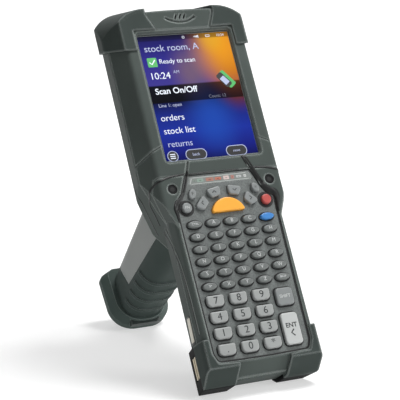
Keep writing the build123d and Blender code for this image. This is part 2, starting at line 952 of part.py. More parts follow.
with BuildPart() as seam_lip:
    add(inner_form)
    add(lip_form, mode=Mode.SUBTRACT)
    add(lip_region, mode=Mode.INTERSECT)

with BuildPart() as inner_parts:
    with BuildSketch(Plane.XY.offset(posts_low_z)):
        with Locations(*case_screw_spots):
            Circle(case_boss_radius)
    extrude(amount=front_boss_end_z - posts_low_z)
    with BuildSketch(Plane.XY.offset(posts_low_z)):
        with Locations(*post_spots):
            Circle(post_radius)
    extrude(amount=main_board_low_z - posts_low_z)
    with BuildSketch(Plane.XY.offset(posts_low_z)):
        with Locations((-keypad_screw_x, keypad_screw_y), (keypad_screw_x, keypad_screw_y)):
            Circle(screw_boss)
    extrude(amount=keypad_boss_top_z - posts_low_z)
    with BuildSketch(Plane.XY.offset(posts_low_z)):
        with Locations((0, cradle_y)):
            Rectangle(cradle_width, cradle_length)
    extrude(amount=cradle_top_z - posts_low_z)
    add(engine_block.part, mode=Mode.SUBTRACT)
    with BuildSketch(nose_plane.offset(engine_front)):
        with Locations((0, scan_centre)):
            Rectangle(scan_width, 2 * scan_height)
    extrude(amount=far, mode=Mode.SUBTRACT)
    add(outer_form, mode=Mode.INTERSECT)

with BuildPart() as rear_housing:
    add(shell.part)
    add(rear_region, mode=Mode.INTERSECT)
    add(seam_lip.part)
    add(inner_parts.part)
    with BuildSketch(Plane.XY.offset(2 * belly_z)):
        with Locations(*case_screw_spots):
            Circle(case_screw_head + case_screw_fit)
    extrude(amount=case_screw_seat_z - 2 * belly_z, mode=Mode.SUBTRACT)
    with BuildSketch(Plane.XY.offset(case_screw_seat_z)):
        with Locations(*case_screw_spots):
            Circle(case_screw_shank + case_screw_fit)
    extrude(amount=far, mode=Mode.SUBTRACT)
    with BuildSketch(Plane.XY.offset(face_z - screw_sink - screw_head_height - keypad_screw_length)):
        with Locations((-keypad_screw_x, keypad_screw_y), (keypad_screw_x, keypad_screw_y)):
            Circle(keypad_screw_shank + screw_fit)
    extrude(amount=far, mode=Mode.SUBTRACT)
    with BuildSketch(Plane.XY.offset(2 * belly_z)):
        with Locations((0, neck_y)):
            Rectangle(neck_width + 2 * neck_fit, neck_length + 2 * neck_fit)
    extrude(amount=-2 * belly_z + belly_z + 2 * wall, mode=Mode.SUBTRACT)
    with BuildSketch(nose_plane.offset(-wall)):
        with Locations((0, scan_centre)):
            Rectangle(scan_width + 2 * scan_pane_margin + seam_gap,
                      scan_height + 2 * scan_pane_margin + seam_gap)
    extrude(amount=-scan_pane_thickness - seam_gap, mode=Mode.SUBTRACT)
    with BuildSketch(nose_plane.offset(-wall)):
        with Locations((0, scan_centre)):
            RectangleRounded(scan_width, scan_height, scan_round)
    extrude(amount=far, mode=Mode.SUBTRACT)
    with BuildSketch(nose_plane):
        with Locations((0, scan_centre)):
            RectangleRounded(scan_width + 2 * scan_bevel, scan_height + 2 * scan_bevel,
                             scan_round + scan_bevel)
    extrude(amount=-scan_bevel, taper=45, mode=Mode.SUBTRACT)
    with BuildSketch(dock_slot_plane.offset(-dock_slot_depth)):
        SlotOverall(dock_slot_length, dock_slot_height)
    extrude(amount=far, mode=Mode.SUBTRACT)
pieces["rear_housing"] = rear_housing.part

with BuildPart() as case_screws_rear:
    with BuildSketch(Plane.XY.offset(case_screw_seat_z)):
        with Locations(*case_screw_spots):
            Circle(case_screw_head)
    extrude(amount=-screw_head_height)
    with BuildSketch(Plane.XY.offset(case_screw_seat_z)):
        with Locations(*case_screw_spots):
            Circle(case_screw_shank)
    extrude(amount=case_screw_length)

# Dock contacts in the left flank and the left tail bumper


def dock_bars(length, height, pitch, count):
    """Bars across the left flank of the tail, one above another."""
    with BuildPart() as bars:
        with BuildSketch(Plane.YZ):
            with Locations((dock_window_y, dock_window_z)):
                with GridLocations(0, pitch, 1, count):
                    Rectangle(length, height)
        extrude(amount=-far)
    return bars.part


with BuildPart() as left_tail_bumper:
    add(pieces["left_tail_bumper"])
    add(dock_bars(dock_window_length, dock_window_height, 0, 1), mode=Mode.SUBTRACT)
pieces["left_tail_bumper"] = left_tail_bumper.part

with BuildPart() as dock_contacts:
    add(bumper_form)
    add(outer_form, mode=Mode.SUBTRACT)
    add(dock_bars(dock_strip_length, dock_strip_height, dock_strip_pitch, 2), mode=Mode.INTERSECT)
    with BuildSketch(dock_slot_plane.offset(-dock_slot_depth)):
        SlotOverall(dock_slot_length, dock_slot_height)
    extrude(amount=dock_slot_depth - dock_slot_recess)
pieces["dock_contacts"] = dock_contacts.part

# Grip

lean = math.radians(grip_lean)
grip_root = (0, grip_root_y, grip_root_z)
grip_plane = Plane(origin=grip_root, x_dir=(-1, 0, 0), z_dir=(0, -math.sin(lean), -math.cos(lean)))
grip_axis = Axis(grip_root, grip_plane.z_dir)
grip_side = Plane(origin=grip_root, x_dir=(0, math.cos(lean), -math.sin(lean)), z_dir=(-1, 0, 0))


def grip_form(grow=0.0):
    """The grip's tapering form, grown outwards by an offset."""
    with BuildPart() as form:
        for drop in (grip_top, grip_length):
            share = drop / grip_length
            half_width = grip_root_half_width + share * (grip_end_half_width - grip_root_half_width)
            half_depth = grip_root_half_depth + share * (grip_end_half_depth - grip_root_half_depth)
            radius = grip_root_round + share * (grip_end_round - grip_root_round)
            with BuildSketch(grip_plane.offset(drop)):
                RectangleRounded(2 * (half_width + grow), 2 * (half_depth + grow), radius + grow)
        loft()
    return form.part


def grip_prism(points, half):
    """A prism across the grip, from half on one side to half on the other."""
    with BuildPart() as prism:
        with BuildSketch(grip_side):
            with BuildLine() as edge:
                Polyline(*points, close=True)
            make_face(edge.edges())
        extrude(amount=half, both=True)
    return prism.part


def grip_block(back, front, top, low, half):
    """A block in the grip, given by its edges along and across the grip."""
    return grip_prism([(back, top), (front, top), (front, low), (back, low)], half)


palm_region = grip_prism([
    (-far, -far), (palm_edge_top, -far), (palm_edge_top, 0), (palm_edge_low, palm_tip),
    (far, collar_top + (far - grip_end_half_depth) * (collar_top - palm_tip)
     / (grip_end_half_depth - palm_edge_low)), (far, 2 * far), (-far, 2 * far),
], far)
rib_region = [grip_block(-far, rib_edge, rib_first + rib * rib_pitch,
                         rib_first + rib * rib_pitch + rib_width, far) for rib in range(rib_count)]

with BuildPart() as grip_skin:
    add(grip_form())
    add(grip_form(-rubber_thickness), mode=Mode.SUBTRACT)
    add(palm_region, mode=Mode.INTERSECT)
    add(outer_form, mode=Mode.SUBTRACT)

with BuildPart() as ribs:
    add(grip_form(rib_height))
    add(grip_form(), mode=Mode.SUBTRACT)
    add(rib_region, mode=Mode.INTERSECT)

with BuildPart() as palm_grip:
    add(grip_skin.part)
    add(ribs.part)
pieces["palm_grip"] = palm_grip.part

trigger_spot = (trigger_pivot, trigger_pivot_drop)
neck_lip_z = belly_z + wall + seam_gap / 2
grip_screw_spots = [(grip_screw_forward, drop) for drop in (grip_screw_high, grip_screw_low)]
cap_top = grip_length + cap_gap
latch_face = cap_heel + latch_rise
tongue_back = latch_face - latch_depth
board_face = pocket_back + grip_board_thickness
switch_middle = (switch_top + switch_low) / 2
switch_face = board_face + switch_depth
pull = math.radians(trigger_pull)
pulled_back = (trigger_pivot - (trigger_pivot - trigger_back) * math.cos(pull)
               - (switch_middle - trigger_pivot_drop) * math.sin(pull))

with BuildPart() as grip_core:
    add(grip_form())
    add(outer_form, mode=Mode.SUBTRACT)
    add(grip_skin.part, mode=Mode.SUBTRACT)
    with BuildSketch(Plane.XY.offset(belly_z - wall)):
        with Locations((0, neck_y)):
            Rectangle(neck_width, neck_length)
    extrude(amount=neck_lip_z + neck_lip_thickness - belly_z + wall)
    with BuildSketch(Plane.XY.offset(neck_lip_z)):
        with Locations((0, neck_y)):
            Rectangle(neck_width + 2 * neck_lip, neck_length + 2 * neck_lip)
    extrude(amount=neck_lip_thickness)
    with BuildSketch(Plane.XY):
        with Locations((0, cable_y)):
            Rectangle(cable_width, cable_length)
    extrude(amount=grip_root_z - 2 * deck_bottom, mode=Mode.SUBTRACT)
    add(grip_block(pocket_back, far, deck_bottom, pocket_low, trigger_half + trigger_fit),
        mode=Mode.SUBTRACT)
    add(grip_block(board_face - contact_gap, board_face + contact_depth + contact_gap,
                   deck_bottom, far, contact_half + contact_gap)
        & grip_block(-far, far, contact_top, (bay_top + grip_length) / 2, far), mode=Mode.SUBTRACT)
    with BuildSketch(grip_plane.offset(bay_top)):
        RectangleRounded(2 * bay_half_width, 2 * bay_half_depth, bay_round)
    extrude(amount=grip_length, mode=Mode.SUBTRACT)
    with BuildSketch(grip_side):
        with Locations(trigger_spot):
            Circle(trigger_pin_radius + trigger_pin_fit)
    extrude(amount=trigger_pin_half, both=True, mode=Mode.SUBTRACT)
    with BuildSketch(grip_side):
        with Locations((trigger_pivot - coil_leg_reach, trigger_pivot_drop)):
            Circle(coil_leg + screw_fit)
    extrude(amount=coil_leg_outer, mode=Mode.SUBTRACT)
    with BuildSketch(grip_side.offset(-grip_screw_seat)):
        with Locations(*grip_screw_spots):
            Circle(grip_screw_head + case_screw_fit)
    extrude(amount=-far, mode=Mode.SUBTRACT)
    with BuildSketch(grip_side.offset(-grip_screw_seat)):
        with Locations(*grip_screw_spots):
            Circle(grip_screw_shank + screw_fit)
    extrude(amount=grip_screw_length, mode=Mode.SUBTRACT)
    add(grip_block(-tongue_back - latch_fit, -tongue_back + tongue_thickness + latch_fit,
                   grip_length - tongue_reach, far, tongue_half + latch_fit), mode=Mode.SUBTRACT)

for side, side_name in ((-1, "left"), (1, "right")):
    with BuildPart() as grip_shell:
        add(grip_core.part)
        with BuildSketch(Plane.YZ.offset(side * seam_gap / 4)):
            Rectangle(2 * far, 2 * far)
        extrude(amount=side * far, mode=Mode.INTERSECT)
    pieces[side_name + "_grip_shell"] = grip_shell.part

with BuildPart() as case_screws:
    add(case_screws_rear.part)
    with BuildSketch(grip_side.offset(-grip_screw_seat)):
        with Locations(*grip_screw_spots):
            Circle(grip_screw_head)
    extrude(amount=-screw_head_height)
    with BuildSketch(grip_side.offset(-grip_screw_seat)):
        with Locations(*grip_screw_spots):
            Circle(grip_screw_shank)
    extrude(amount=grip_screw_length)
pieces["case_screws"] = case_screws.part

# Trigger

with BuildPart() as trigger:
    with BuildSketch(grip_side):
        outline(trigger_points, trigger_radii)
    extrude(amount=trigger_half, both=True)
    front_edges = [edge for edge in trigger.edges()
                   if grip_side.to_local_coords(edge.center()).X > trigger_front
                   and abs(abs(edge.center().X) - trigger_half) < rest_flat]
    fillet(front_edges, radius=trigger_edge_round)
    with BuildSketch(grip_side):
        with Locations(trigger_spot):
            Circle(trigger_pin_radius + trigger_pin_fit)
    extrude(amount=far, both=True, mode=Mode.SUBTRACT)
    with BuildSketch(grip_side.offset(trigger_half)):
        with Locations(trigger_spot):
            Circle(coil_radius + coil_fit)
    extrude(amount=coil_side - coil_fit - trigger_half, mode=Mode.SUBTRACT)
    with BuildSketch(grip_side.offset(coil_side)):
        with Locations((trigger_pivot - coil_leg_reach, trigger_pivot_drop)):
            Circle(coil_leg + coil_leg_room)
    extrude(amount=coil_leg_inner - coil_fit - coil_side, mode=Mode.SUBTRACT)
pieces["trigger"] = trigger.part

with BuildPart() as trigger_pin:
    with BuildSketch(grip_side):
        with Locations(trigger_spot):
            Circle(trigger_pin_radius)
    extrude(amount=trigger_pin_half, both=True)
pieces["trigger_pin"] = trigger_pin.part

with BuildPart() as trigger_spring:
    with BuildSketch(grip_side.offset(coil_side)):
        with Locations(trigger_spot):
            Circle(coil_radius)
            Circle(coil_bore, mode=Mode.SUBTRACT)
    extrude(amount=coil_length)
    with BuildSketch(grip_side.offset(coil_leg_inner)):
        with Locations((trigger_pivot - coil_leg_reach, trigger_pivot_drop)):
            Circle(coil_leg)
    extrude(amount=coil_leg_outer - coil_leg_inner)
pieces["trigger_spring"] = trigger_spring.part

# Grip circuit board with the trigger's switch and the battery contacts

with BuildPart() as grip_circuit_board:
    add(grip_block(pocket_back, board_face, grip_board_top, pocket_low - contact_gap, grip_board_half))
    add(grip_block(board_face, switch_face, switch_top, switch_low, switch_half))
    add(grip_block(board_face, board_face + contact_depth, contact_top, bay_top, contact_half))
    plunger_root = grip_side.from_local_coords(Vector(switch_face, switch_middle, 0))
    with BuildSketch(Plane(origin=plunger_root, x_dir=(1, 0, 0), z_dir=grip_side.x_dir)):
        Circle(plunger_radius)
    extrude(amount=pulled_back - plunger_gap - switch_face)
pieces["grip_circuit_board"] = grip_circuit_board.part

# Battery, its cap and its latch

with BuildPart() as battery_pack:
    with BuildSketch(grip_plane.offset(bay_top + battery_top_gap)):
        RectangleRounded(2 * (bay_half_width - battery_fit), 2 * (bay_half_depth - battery_fit),
                         bay_round - battery_fit)
    extrude(amount=cap_top - bay_top - battery_top_gap)
    fillet(battery_pack.faces().sort_by(grip_axis)[0].edges(), radius=battery_edge_round)
pieces["battery_pack"] = battery_pack.part


def cap_outline(half, heel):
    """Outline of the foot: straight at the toe and round at the heel."""
    outline([(-half, cap_toe), (half, cap_toe), (half, -heel), (-half, -heel)],
            [cap_toe_round, cap_toe_round, cap_heel_round, cap_heel_round])


with BuildPart() as battery_cap_form:
    with BuildSketch(grip_plane.offset(cap_top)):
        cap_outline(cap_waist, cap_top_heel)
    with BuildSketch(grip_plane.offset(cap_top + cap_flare)):
        cap_outline(cap_half, cap_heel)
    loft()
    with BuildSketch(grip_plane.offset(cap_top + cap_flare)):
        cap_outline(cap_half, cap_heel)
    extrude(amount=cap_wall_low - cap_flare)
    with BuildSketch(grip_plane.offset(cap_top + cap_wall_low)):
        cap_outline(cap_half, cap_heel)
    extrude(amount=cap_thickness - cap_wall_low, taper=cap_taper)
    fillet(battery_cap_form.faces().sort_by(grip_axis)[-1].edges(), radius=cap_low_round)

latch_top = cap_top + latch_drop
latch_low = latch_top + latch_height
with BuildPart() as battery_latch:
    add(grip_block(-latch_face, -tongue_back + tongue_thickness, latch_top, latch_low, latch_half))
    add(grip_block(-tongue_back, -tongue_back + tongue_thickness, grip_length - tongue_reach + latch_fit,
                   latch_top, tongue_half))
pieces["battery_latch"] = battery_latch.part

with BuildPart() as battery_cap:
    add(battery_cap_form.part)
    add(grip_block(-far, -tongue_back + tongue_thickness + latch_fit, latch_top - latch_fit,
                   latch_low + latch_travel + latch_fit, latch_half + latch_fit), mode=Mode.SUBTRACT)
    add(grip_block(-tongue_back - latch_fit, -tongue_back + tongue_thickness + latch_fit, 0, latch_low,
                   tongue_half + latch_fit), mode=Mode.SUBTRACT)
pieces["battery_cap"] = battery_cap.part

# Stance: the terminal leans back on its tail and on the heel of its foot


def corner_centre(before, corner, after, radius):
    """Centre of the arc that rounds a corner between two straight edges."""
    here = Vector(*corner)
    back = (Vector(*before) - here).normalized()
    ahead = (Vector(*after) - here).normalized()
    half_angle = math.radians(back.get_angle(ahead)) / 2
    return here + (back + ahead).normalized() * (radius / math.sin(half_angle))


tail_centre = corner_centre((waist_y, waist_z), (tail_y, tail_z), (tail_y, tail_slope_z), tail_round)
tail_reach = tail_round + bumper_thickness
heel_drop = cap_top + cap_thickness
heel_inset = (cap_thickness - cap_wall_low) * math.tan(math.radians(cap_taper))
heel_spot = corner_centre((0, heel_drop), (heel_inset - cap_heel, heel_drop),
                          (-cap_heel, cap_top + cap_wall_low), cap_low_round)
heel_world = grip_side.from_local_coords(Vector(heel_spot.X, heel_spot.Y, 0))
heel_centre = Vector(heel_world.Y, heel_world.Z)
step = tail_centre - heel_centre
stance = math.atan2(step.Y, -step.X) + math.asin((cap_low_round - tail_reach) / step.length)
down = Vector(0, -math.sin(stance), -math.cos(stance))
floor_point = Vector(0, heel_centre.X, heel_centre.Y) + down * (cap_low_round - rest_flat)
floor_plane = Plane(origin=floor_point, x_dir=(1, 0, 0), z_dir=down)

with BuildPart() as below_floor:
    with BuildSketch(floor_plane):
        Rectangle(2 * far, 2 * far)
    extrude(amount=far)

for name in ("left_tail_bumper", "right_tail_bumper", "battery_cap"):
    with BuildPart() as flattened:
        add(pieces[name])
        add(below_floor.part, mode=Mode.SUBTRACT)
    pieces[name] = flattened.part

standing = {name: piece.rotate(Axis.X, math.degrees(stance)) for name, piece in pieces.items()}
boxes = [piece.bounding_box() for piece in standing.values()]
shift = Vector(-(min(box.min.X for box in boxes) + max(box.max.X for box in boxes)) / 2,
               -(min(box.min.Y for box in boxes) + max(box.max.Y for box in boxes)) / 2,
               -min(box.min.Z for box in boxes))

for name, piece in standing.items():
    placed = piece.translate(shift)
    placed.label = name
    export_step(placed, f"parts/{name}.step")
print(f"stance {math.degrees(stance):.4f} shift {shift}")
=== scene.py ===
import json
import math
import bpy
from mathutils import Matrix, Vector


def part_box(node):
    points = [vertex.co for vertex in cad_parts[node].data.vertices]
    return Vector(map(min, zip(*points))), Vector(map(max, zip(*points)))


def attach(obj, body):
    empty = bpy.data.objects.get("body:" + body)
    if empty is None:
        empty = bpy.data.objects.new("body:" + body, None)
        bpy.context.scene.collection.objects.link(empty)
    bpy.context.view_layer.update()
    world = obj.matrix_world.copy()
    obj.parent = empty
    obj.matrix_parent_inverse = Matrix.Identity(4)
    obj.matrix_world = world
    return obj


bl_info = {
    "name": "Portable data terminal",
    "version": (1, 0, 0),
    "blender": (4, 5, 0),
    "location": "3D View > Sidebar > Terminal",
    "description": "Finishes, display picture, key legends and small parts of a rugged data terminal",
    "category": "Object",
}

import bmesh
import bpy
from mathutils import Matrix, Vector

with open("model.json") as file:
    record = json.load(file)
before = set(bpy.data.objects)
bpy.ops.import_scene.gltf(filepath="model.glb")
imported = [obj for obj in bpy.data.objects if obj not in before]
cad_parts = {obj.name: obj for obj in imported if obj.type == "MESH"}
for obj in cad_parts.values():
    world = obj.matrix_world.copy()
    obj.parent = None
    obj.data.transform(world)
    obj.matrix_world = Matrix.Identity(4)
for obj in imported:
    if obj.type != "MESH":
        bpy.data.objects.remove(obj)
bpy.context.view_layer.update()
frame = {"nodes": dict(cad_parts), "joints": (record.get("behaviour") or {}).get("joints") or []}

MM = 0.001
GLASS_THICKNESS = 1.2 * MM
SEAM_TO_DISPLAY = 47.0 * MM
FACE_RISE = 2.4 * MM
PANEL_TOP = 1.7 * MM
KEY_TOP = 3.7 * MM
INK = 0.04 * MM
SIDES = {"left": -1, "right": 1}


def joint(name):
    """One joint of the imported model."""
    return next(j for j in frame["joints"] if j["name"] == name)


def face_matrix():
    """From the terminal's face to the shared frame: X right, Y to the nose, Z out of the display."""
    out = -Vector(joint("scan_key_press")["axis"]).normalized()
    right = Vector((1, 0, 0))
    up = out.cross(right)
    low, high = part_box("touch_panel")
    origin = (low + high) / 2 + out * GLASS_THICKNESS / 2 - up * SEAM_TO_DISPLAY
    return Matrix.Translation(origin) @ Matrix((right, up, out)).transposed().to_4x4()


FACE = face_matrix()


def face_box(node):
    """Lowest and highest corner of a CAD node in the face's own frame."""
    inverse = FACE.inverted()
    spots = [inverse @ v.co for v in frame["nodes"][node].data.vertices]
    return (Vector([min(s[i] for s in spots) for i in range(3)]),
            Vector([max(s[i] for s in spots) for i in range(3)]))


def middle(node):
    """Middle of a CAD node on the face."""
    low, high = face_box(node)
    return (low.x + high.x) / 2, (low.y + high.y) / 2


# Finishes

COLOUR_A, COLOUR_B, COLOUR_OUT = 6, 7, 2  # places of a mix node's colour sockets
BEVEL_SAMPLES = 4
FLAT = 0.985  # cosines between the softened and the true normal
EDGED = 0.86
CLOUD_SIZE = 30 * MM
CLOUD_DETAIL = 4
GRAIN_DETAIL = 2
# Edges are lightened to the colour times this gain plus this lift: a painted highlight, partly rubbed
# wear
HIGHLIGHT_AND_WEAR_GAIN = 2.6
HIGHLIGHT_AND_WEAR_LIFT = 0.15
SOLE_COLOUR = (0.010, 0.011, 0.011)
SOLE_BORDER = 0.15 * MM
COAT_ROUGHNESS = 0.03


def feed(tree, socket, value):
    """Sets an input to a value, or links another node's output to it."""
    if isinstance(value, bpy.types.NodeSocket):
        tree.links.new(value, socket)
    else:
        socket.default_value = value


def mixed(tree, factor, one, other, way="MIX"):
    """Two colours put together."""
    mix = tree.nodes.new("ShaderNodeMix")
    mix.data_type = "RGBA"
    mix.blend_type = way
    feed(tree, mix.inputs["Factor"], factor)
    feed(tree, mix.inputs[COLOUR_A], one)
    feed(tree, mix.inputs[COLOUR_B], other)
    return mix.outputs[COLOUR_OUT]


def ranged(tree, value, start, end, low=0.0, high=1.0, way="LINEAR"):
    """A value's way from start to end, as one from low to high."""
    node = tree.nodes.new("ShaderNodeMapRange")
    node.interpolation_type = way
    feed(tree, node.inputs["Value"], value)
    for name, number in zip(("From Min", "From Max", "To Min", "To Max"), (start, end, low, high)):
        node.inputs[name].default_value = number
    return node.outputs["Result"]


def measured(tree, way, one, other):
    """A number from two vectors, such as their dot product."""
    node = tree.nodes.new("ShaderNodeVectorMath")
    node.operation = way
    feed(tree, node.inputs[0], one)
    feed(tree, node.inputs[1], other)
    return node.outputs["Value"]


def noise(tree, place, size, detail):
    """Noise with spots of a given size."""
    node = tree.nodes.new("ShaderNodeTexNoise")
    node.inputs["Scale"].default_value = 1 / size
    node.inputs["Detail"].default_value = detail
    tree.links.new(place, node.inputs["Vector"])
    return node.outputs["Fac"]


def link_highlight_and_wear(tree, colour_socket, highlight_and_wear_colour, edge, amount):
    """Mixes a lighter colour in along the edges, a painted highlight that partly stands for rubbed wear,
    and gives the softened normal too.
    """
    bevel = tree.nodes.new("ShaderNodeBevel")
    bevel.samples = BEVEL_SAMPLES
    bevel.inputs["Radius"].default_value = edge
    soft = bevel.outputs["Normal"]
    sharp = tree.nodes.new("ShaderNodeNewGeometry").outputs["Normal"]
    mask = ranged(tree, measured(tree, "DOT_PRODUCT", soft, sharp), FLAT, EDGED, 0.0, amount)
    return mixed(tree, mask, colour_socket, (*highlight_and_wear_colour, 1)), soft


def finish(name, colour, roughness=0.5, grain=0.5, depth=0.02, mottle=0.15, highlight_and_wear=None, edge=0.5,
           amount=0.7, metallic=0.0, speck=0.0, shine=0.5):
    """A moulded or machined finish: colour that varies a little, fine grain, and lighter edges that are
    a painted highlight and partly rubbed wear.
    """
    material = bpy.data.materials.new(name)
    material.use_nodes = True
    tree = material.node_tree
    nodes, links = tree.nodes, tree.links
    shader = nodes["Principled BSDF"]
    shader.inputs["Roughness"].default_value = roughness
    shader.inputs["Metallic"].default_value = metallic
    shader.inputs["Specular IOR Level"].default_value = shine
    place = nodes.new("ShaderNodeTexCoord").outputs["Object"]
    cloud = noise(tree, place, CLOUD_SIZE, CLOUD_DETAIL)
    grains = noise(tree, place, grain * MM, GRAIN_DETAIL)
    tone = mixed(tree, cloud, (*[c * (1 - mottle) for c in colour], 1),
                 (*[min(1, c * (1 + mottle)) for c in colour], 1))
    if speck:
        tone = mixed(tree, speck, tone, grains, "OVERLAY")
    # The lighter edge colour is a painted highlight, partly rubbed wear
    highlight_and_wear_colour = highlight_and_wear or [min(1, c * HIGHLIGHT_AND_WEAR_GAIN + HIGHLIGHT_AND_WEAR_LIFT) for c in colour]
    tone, soft_normal = link_highlight_and_wear(tree, tone, highlight_and_wear_colour, edge * MM, amount)
    links.new(tone, shader.inputs["Base Color"])
    bump = nodes.new("ShaderNodeBump")
    bump.inputs["Strength"].default_value = 1.0
    bump.inputs["Distance"].default_value = depth * MM
    links.new(grains, bump.inputs["Height"])
    links.new(soft_normal, bump.inputs["Normal"])
    links.new(bump.outputs["Normal"], shader.inputs["Normal"])
    return material


def sole(material, level):
    """Turns a finish black below a level of the face's frame, as a second moulding would."""
    tree = material.node_tree
    colour = tree.nodes["Principled BSDF"].inputs["Base Color"]
    out = FACE.to_3x3() @ Vector((0, 0, 1))
    start = out.dot(FACE.translation) + level
    place = tree.nodes.new("ShaderNodeTexCoord").outputs["Object"]
    height = measured(tree, "DOT_PRODUCT", place, out)
    share = ranged(tree, height, start - SOLE_BORDER, start + SOLE_BORDER)
    feed(tree, colour, mixed(tree, share, (*SOLE_COLOUR, 1), colour.links[0].from_socket))
    return material


def glass(name, colour, roughness, alpha):
    """Polished glass that shows what lies close behind it."""
    material = finish(name, colour, roughness, grain=3.0, depth=0.001, mottle=0.05, edge=0.2)
    shader = material.node_tree.nodes["Principled BSDF"]
    shader.inputs["Alpha"].default_value = alpha
    shader.inputs["Coat Weight"].default_value = 1.0
    shader.inputs["Coat Roughness"].default_value = COAT_ROUGHNESS
    return material


def ink(name, colour, glow=0.0):
    """Printed or lit colour, very slightly uneven."""
    material = finish(name, colour, 0.45, grain=0.25, depth=0.002, mottle=0.04, edge=0.05, amount=0.0)
    shader = material.node_tree.nodes["Principled BSDF"]
    shader.inputs["Emission Color"].default_value = (*colour, 1)
    shader.inputs["Emission Strength"].default_value = glow
    return material


def dress(material, *nodes):
    """Gives CAD nodes their finish."""
    for node in nodes:
        slots = frame["nodes"][node].data.materials
        slots.clear()
        slots.append(material)


# Modelling by hand

CORNER_SEGMENTS = 6
ROUND_CORNERS = 40
STROKE = 0.22
PATH_STEPS = 6
SEAM_DEPTH = 3.0 * MM
RAY_START = 60 * MM
STRAP_SINK = 0.3 * MM
STRAP_PROFILE = [(-0.5, 0.45), (-0.3, 0.9), (0.0, 1.0), (0.3, 0.9), (0.5, 0.45)]
LAST_WIDTH = 1.001  # how far from the end of a strap's widths the last one is read


def edit(piece):
    """Makes a piece the only one selected and opens its mesh."""
    bpy.ops.object.select_all(action="DESELECT")
    piece.select_set(True)
    bpy.context.view_layer.objects.active = piece
    bpy.ops.object.mode_set(mode="EDIT")


def leave():
    """Closes the open mesh."""
    bpy.ops.object.mode_set(mode="OBJECT")


def settle(piece, name, body, slot, material):
    """Bakes a piece's place on the face into its mesh and ties it to its body."""
    piece.data.transform(FACE @ piece.matrix_world)
    piece.matrix_world = Matrix.Identity(4)
    piece.name = name
    piece.data.name = name
    piece.data.materials.clear()
    piece.data.materials.append(material)
    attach(piece, body)


def spot_matrix(x, y, z, turn=0.0):
    """A place on the face, turned about the way out of it."""
    return Matrix.Translation((x, y, z)) @ Matrix.Rotation(turn, 4, "Z")


def grown(width, height, rise, corner, band, place):
    """The new flat face sized, rounded, opened to a ring if it has a band, and thickened."""
    piece = bpy.context.object
    edit(piece)
    bpy.ops.transform.resize(value=(width, height, 1))
    if corner:
        bpy.ops.mesh.bevel(offset=corner, segments=CORNER_SEGMENTS, affect="VERTICES")
    if band:
        bpy.ops.mesh.inset(thickness=band)
        bpy.ops.mesh.delete(type="FACE")
        bpy.ops.mesh.select_all(action="SELECT")
    bpy.ops.mesh.extrude_region_move(TRANSFORM_OT_translate={"value": (0, 0, rise)})
    bpy.ops.mesh.select_all(action="SELECT")
    bpy.ops.mesh.normals_make_consistent(inside=False)
    leave()
    piece.data.transform(place)
    return piece


def plate(width, height, rise, corner, x, y, z, turn=0.0, band=0.0):
    """A flat plate or ring with rounded corners, drawn on the face at its place."""
    bpy.ops.object.select_all(action="DESELECT")
    bpy.ops.mesh.primitive_plane_add(size=1)
    return grown(width, height, rise, corner, band, spot_matrix(x, y, z, turn))


def disc(width, height, rise, x, y, z, band=0.0, corners=ROUND_CORNERS):
    """A round or oval plate or ring, drawn on the face at its place."""
    bpy.ops.object.select_all(action="DESELECT")
    bpy.ops.mesh.primitive_circle_add(vertices=corners, radius=0.5, fill_type="NGON")
    return grown(width, height, rise, 0.0, band, spot_matrix(x, y, z))


def linked(shape, name):
    """A new piece from a bmesh."""
    bmesh.ops.recalc_face_normals(shape, faces=shape.faces)
    mesh = bpy.data.meshes.new(name)
    shape.to_mesh(mesh)
    shape.free()
    piece = bpy.data.objects.new(name, mesh)
    bpy.context.collection.objects.link(piece)
    return piece


def ribbon(points, width, place):
    """A printed strip along a path of points, mitred at its bends."""
    shape = bmesh.new()
    rows = []
    for i, (x, y) in enumerate(points):
        before = Vector(points[max(i - 1, 0)])
        after = Vector(points[min(i + 1, len(points) - 1)])
        along = (after - before).normalized()
        across = Vector((-along.y, along.x)) * width / 2
        rows.append([shape.verts.new((x + side * across.x, y + side * across.y, 0)) for side in (-1, 1)])
    faces = [shape.faces.new((a[0], a[1], b[1], b[0])) for a, b in zip(rows, rows[1:])]
    raised = bmesh.ops.extrude_face_region(shape, geom=faces)
    bmesh.ops.translate(shape, vec=(0, 0, INK),
                        verts=[v for v in raised["geom"] if isinstance(v, bmesh.types.BMVert)])
    piece = linked(shape, "strip")
    piece.data.transform(place)
    return piece


def legend(words, size, x, y, z, weight=0.0):
    """Printed characters, centred on their place."""
    bpy.ops.object.select_all(action="DESELECT")
    bpy.ops.object.text_add()
    piece = bpy.context.object
    piece.data.body = words
    piece.data.size = size
    piece.data.align_x = "CENTER"
    piece.data.align_y = "CENTER"
    piece.data.extrude = INK / 2
    piece.data.offset = size * weight
    bpy.ops.object.convert(target="MESH")
    piece = bpy.context.object
    piece.data.transform(spot_matrix(x, y, z + INK / 2))
    return piece


def arrow(size, x, y, z, turn):
    """A small open chevron."""
    reach = size / 2
    points = [(-reach, -reach / 2), (0, reach / 2), (reach, -reach / 2)]
    return ribbon(points, size * STROKE, spot_matrix(x, y, z, turn))


def smooth_path(points):
    """A smooth line through a few points, by the Catmull-Rom rule."""
    ends = [points[0] * 2 - points[1], *points, points[-1] * 2 - points[-2]]
    line = []
    for a, b, c, d in zip(ends, ends[1:], ends[2:], ends[3:]):
        for i in range(PATH_STEPS):
            t = i / PATH_STEPS
            line.append((b * 2 + (c - a) * t + (a * 2 - b * 5 + c * 4 - d) * t ** 2
                         + (b * 3 - a - c * 3 + d) * t ** 3) / 2)
    return line + [points[-1]]


def drop(spot, normal, nodes):
    """Where a place comes down on the outside of CAD nodes, or None in a seam, in the face's frame."""
    start = FACE @ (spot + normal * RAY_START)
    way = FACE.to_3x3() @ -normal
    best = None
    for node in nodes:
        hit, place, _, _ = frame["nodes"][node].ray_cast(start, way)
        if hit and (best is None or (place - start).length < (best - start).length):
            best = place
    if best is None:
        return None
    best = FACE.inverted() @ best
    return best if abs((best - spot).dot(normal)) < SEAM_DEPTH else None


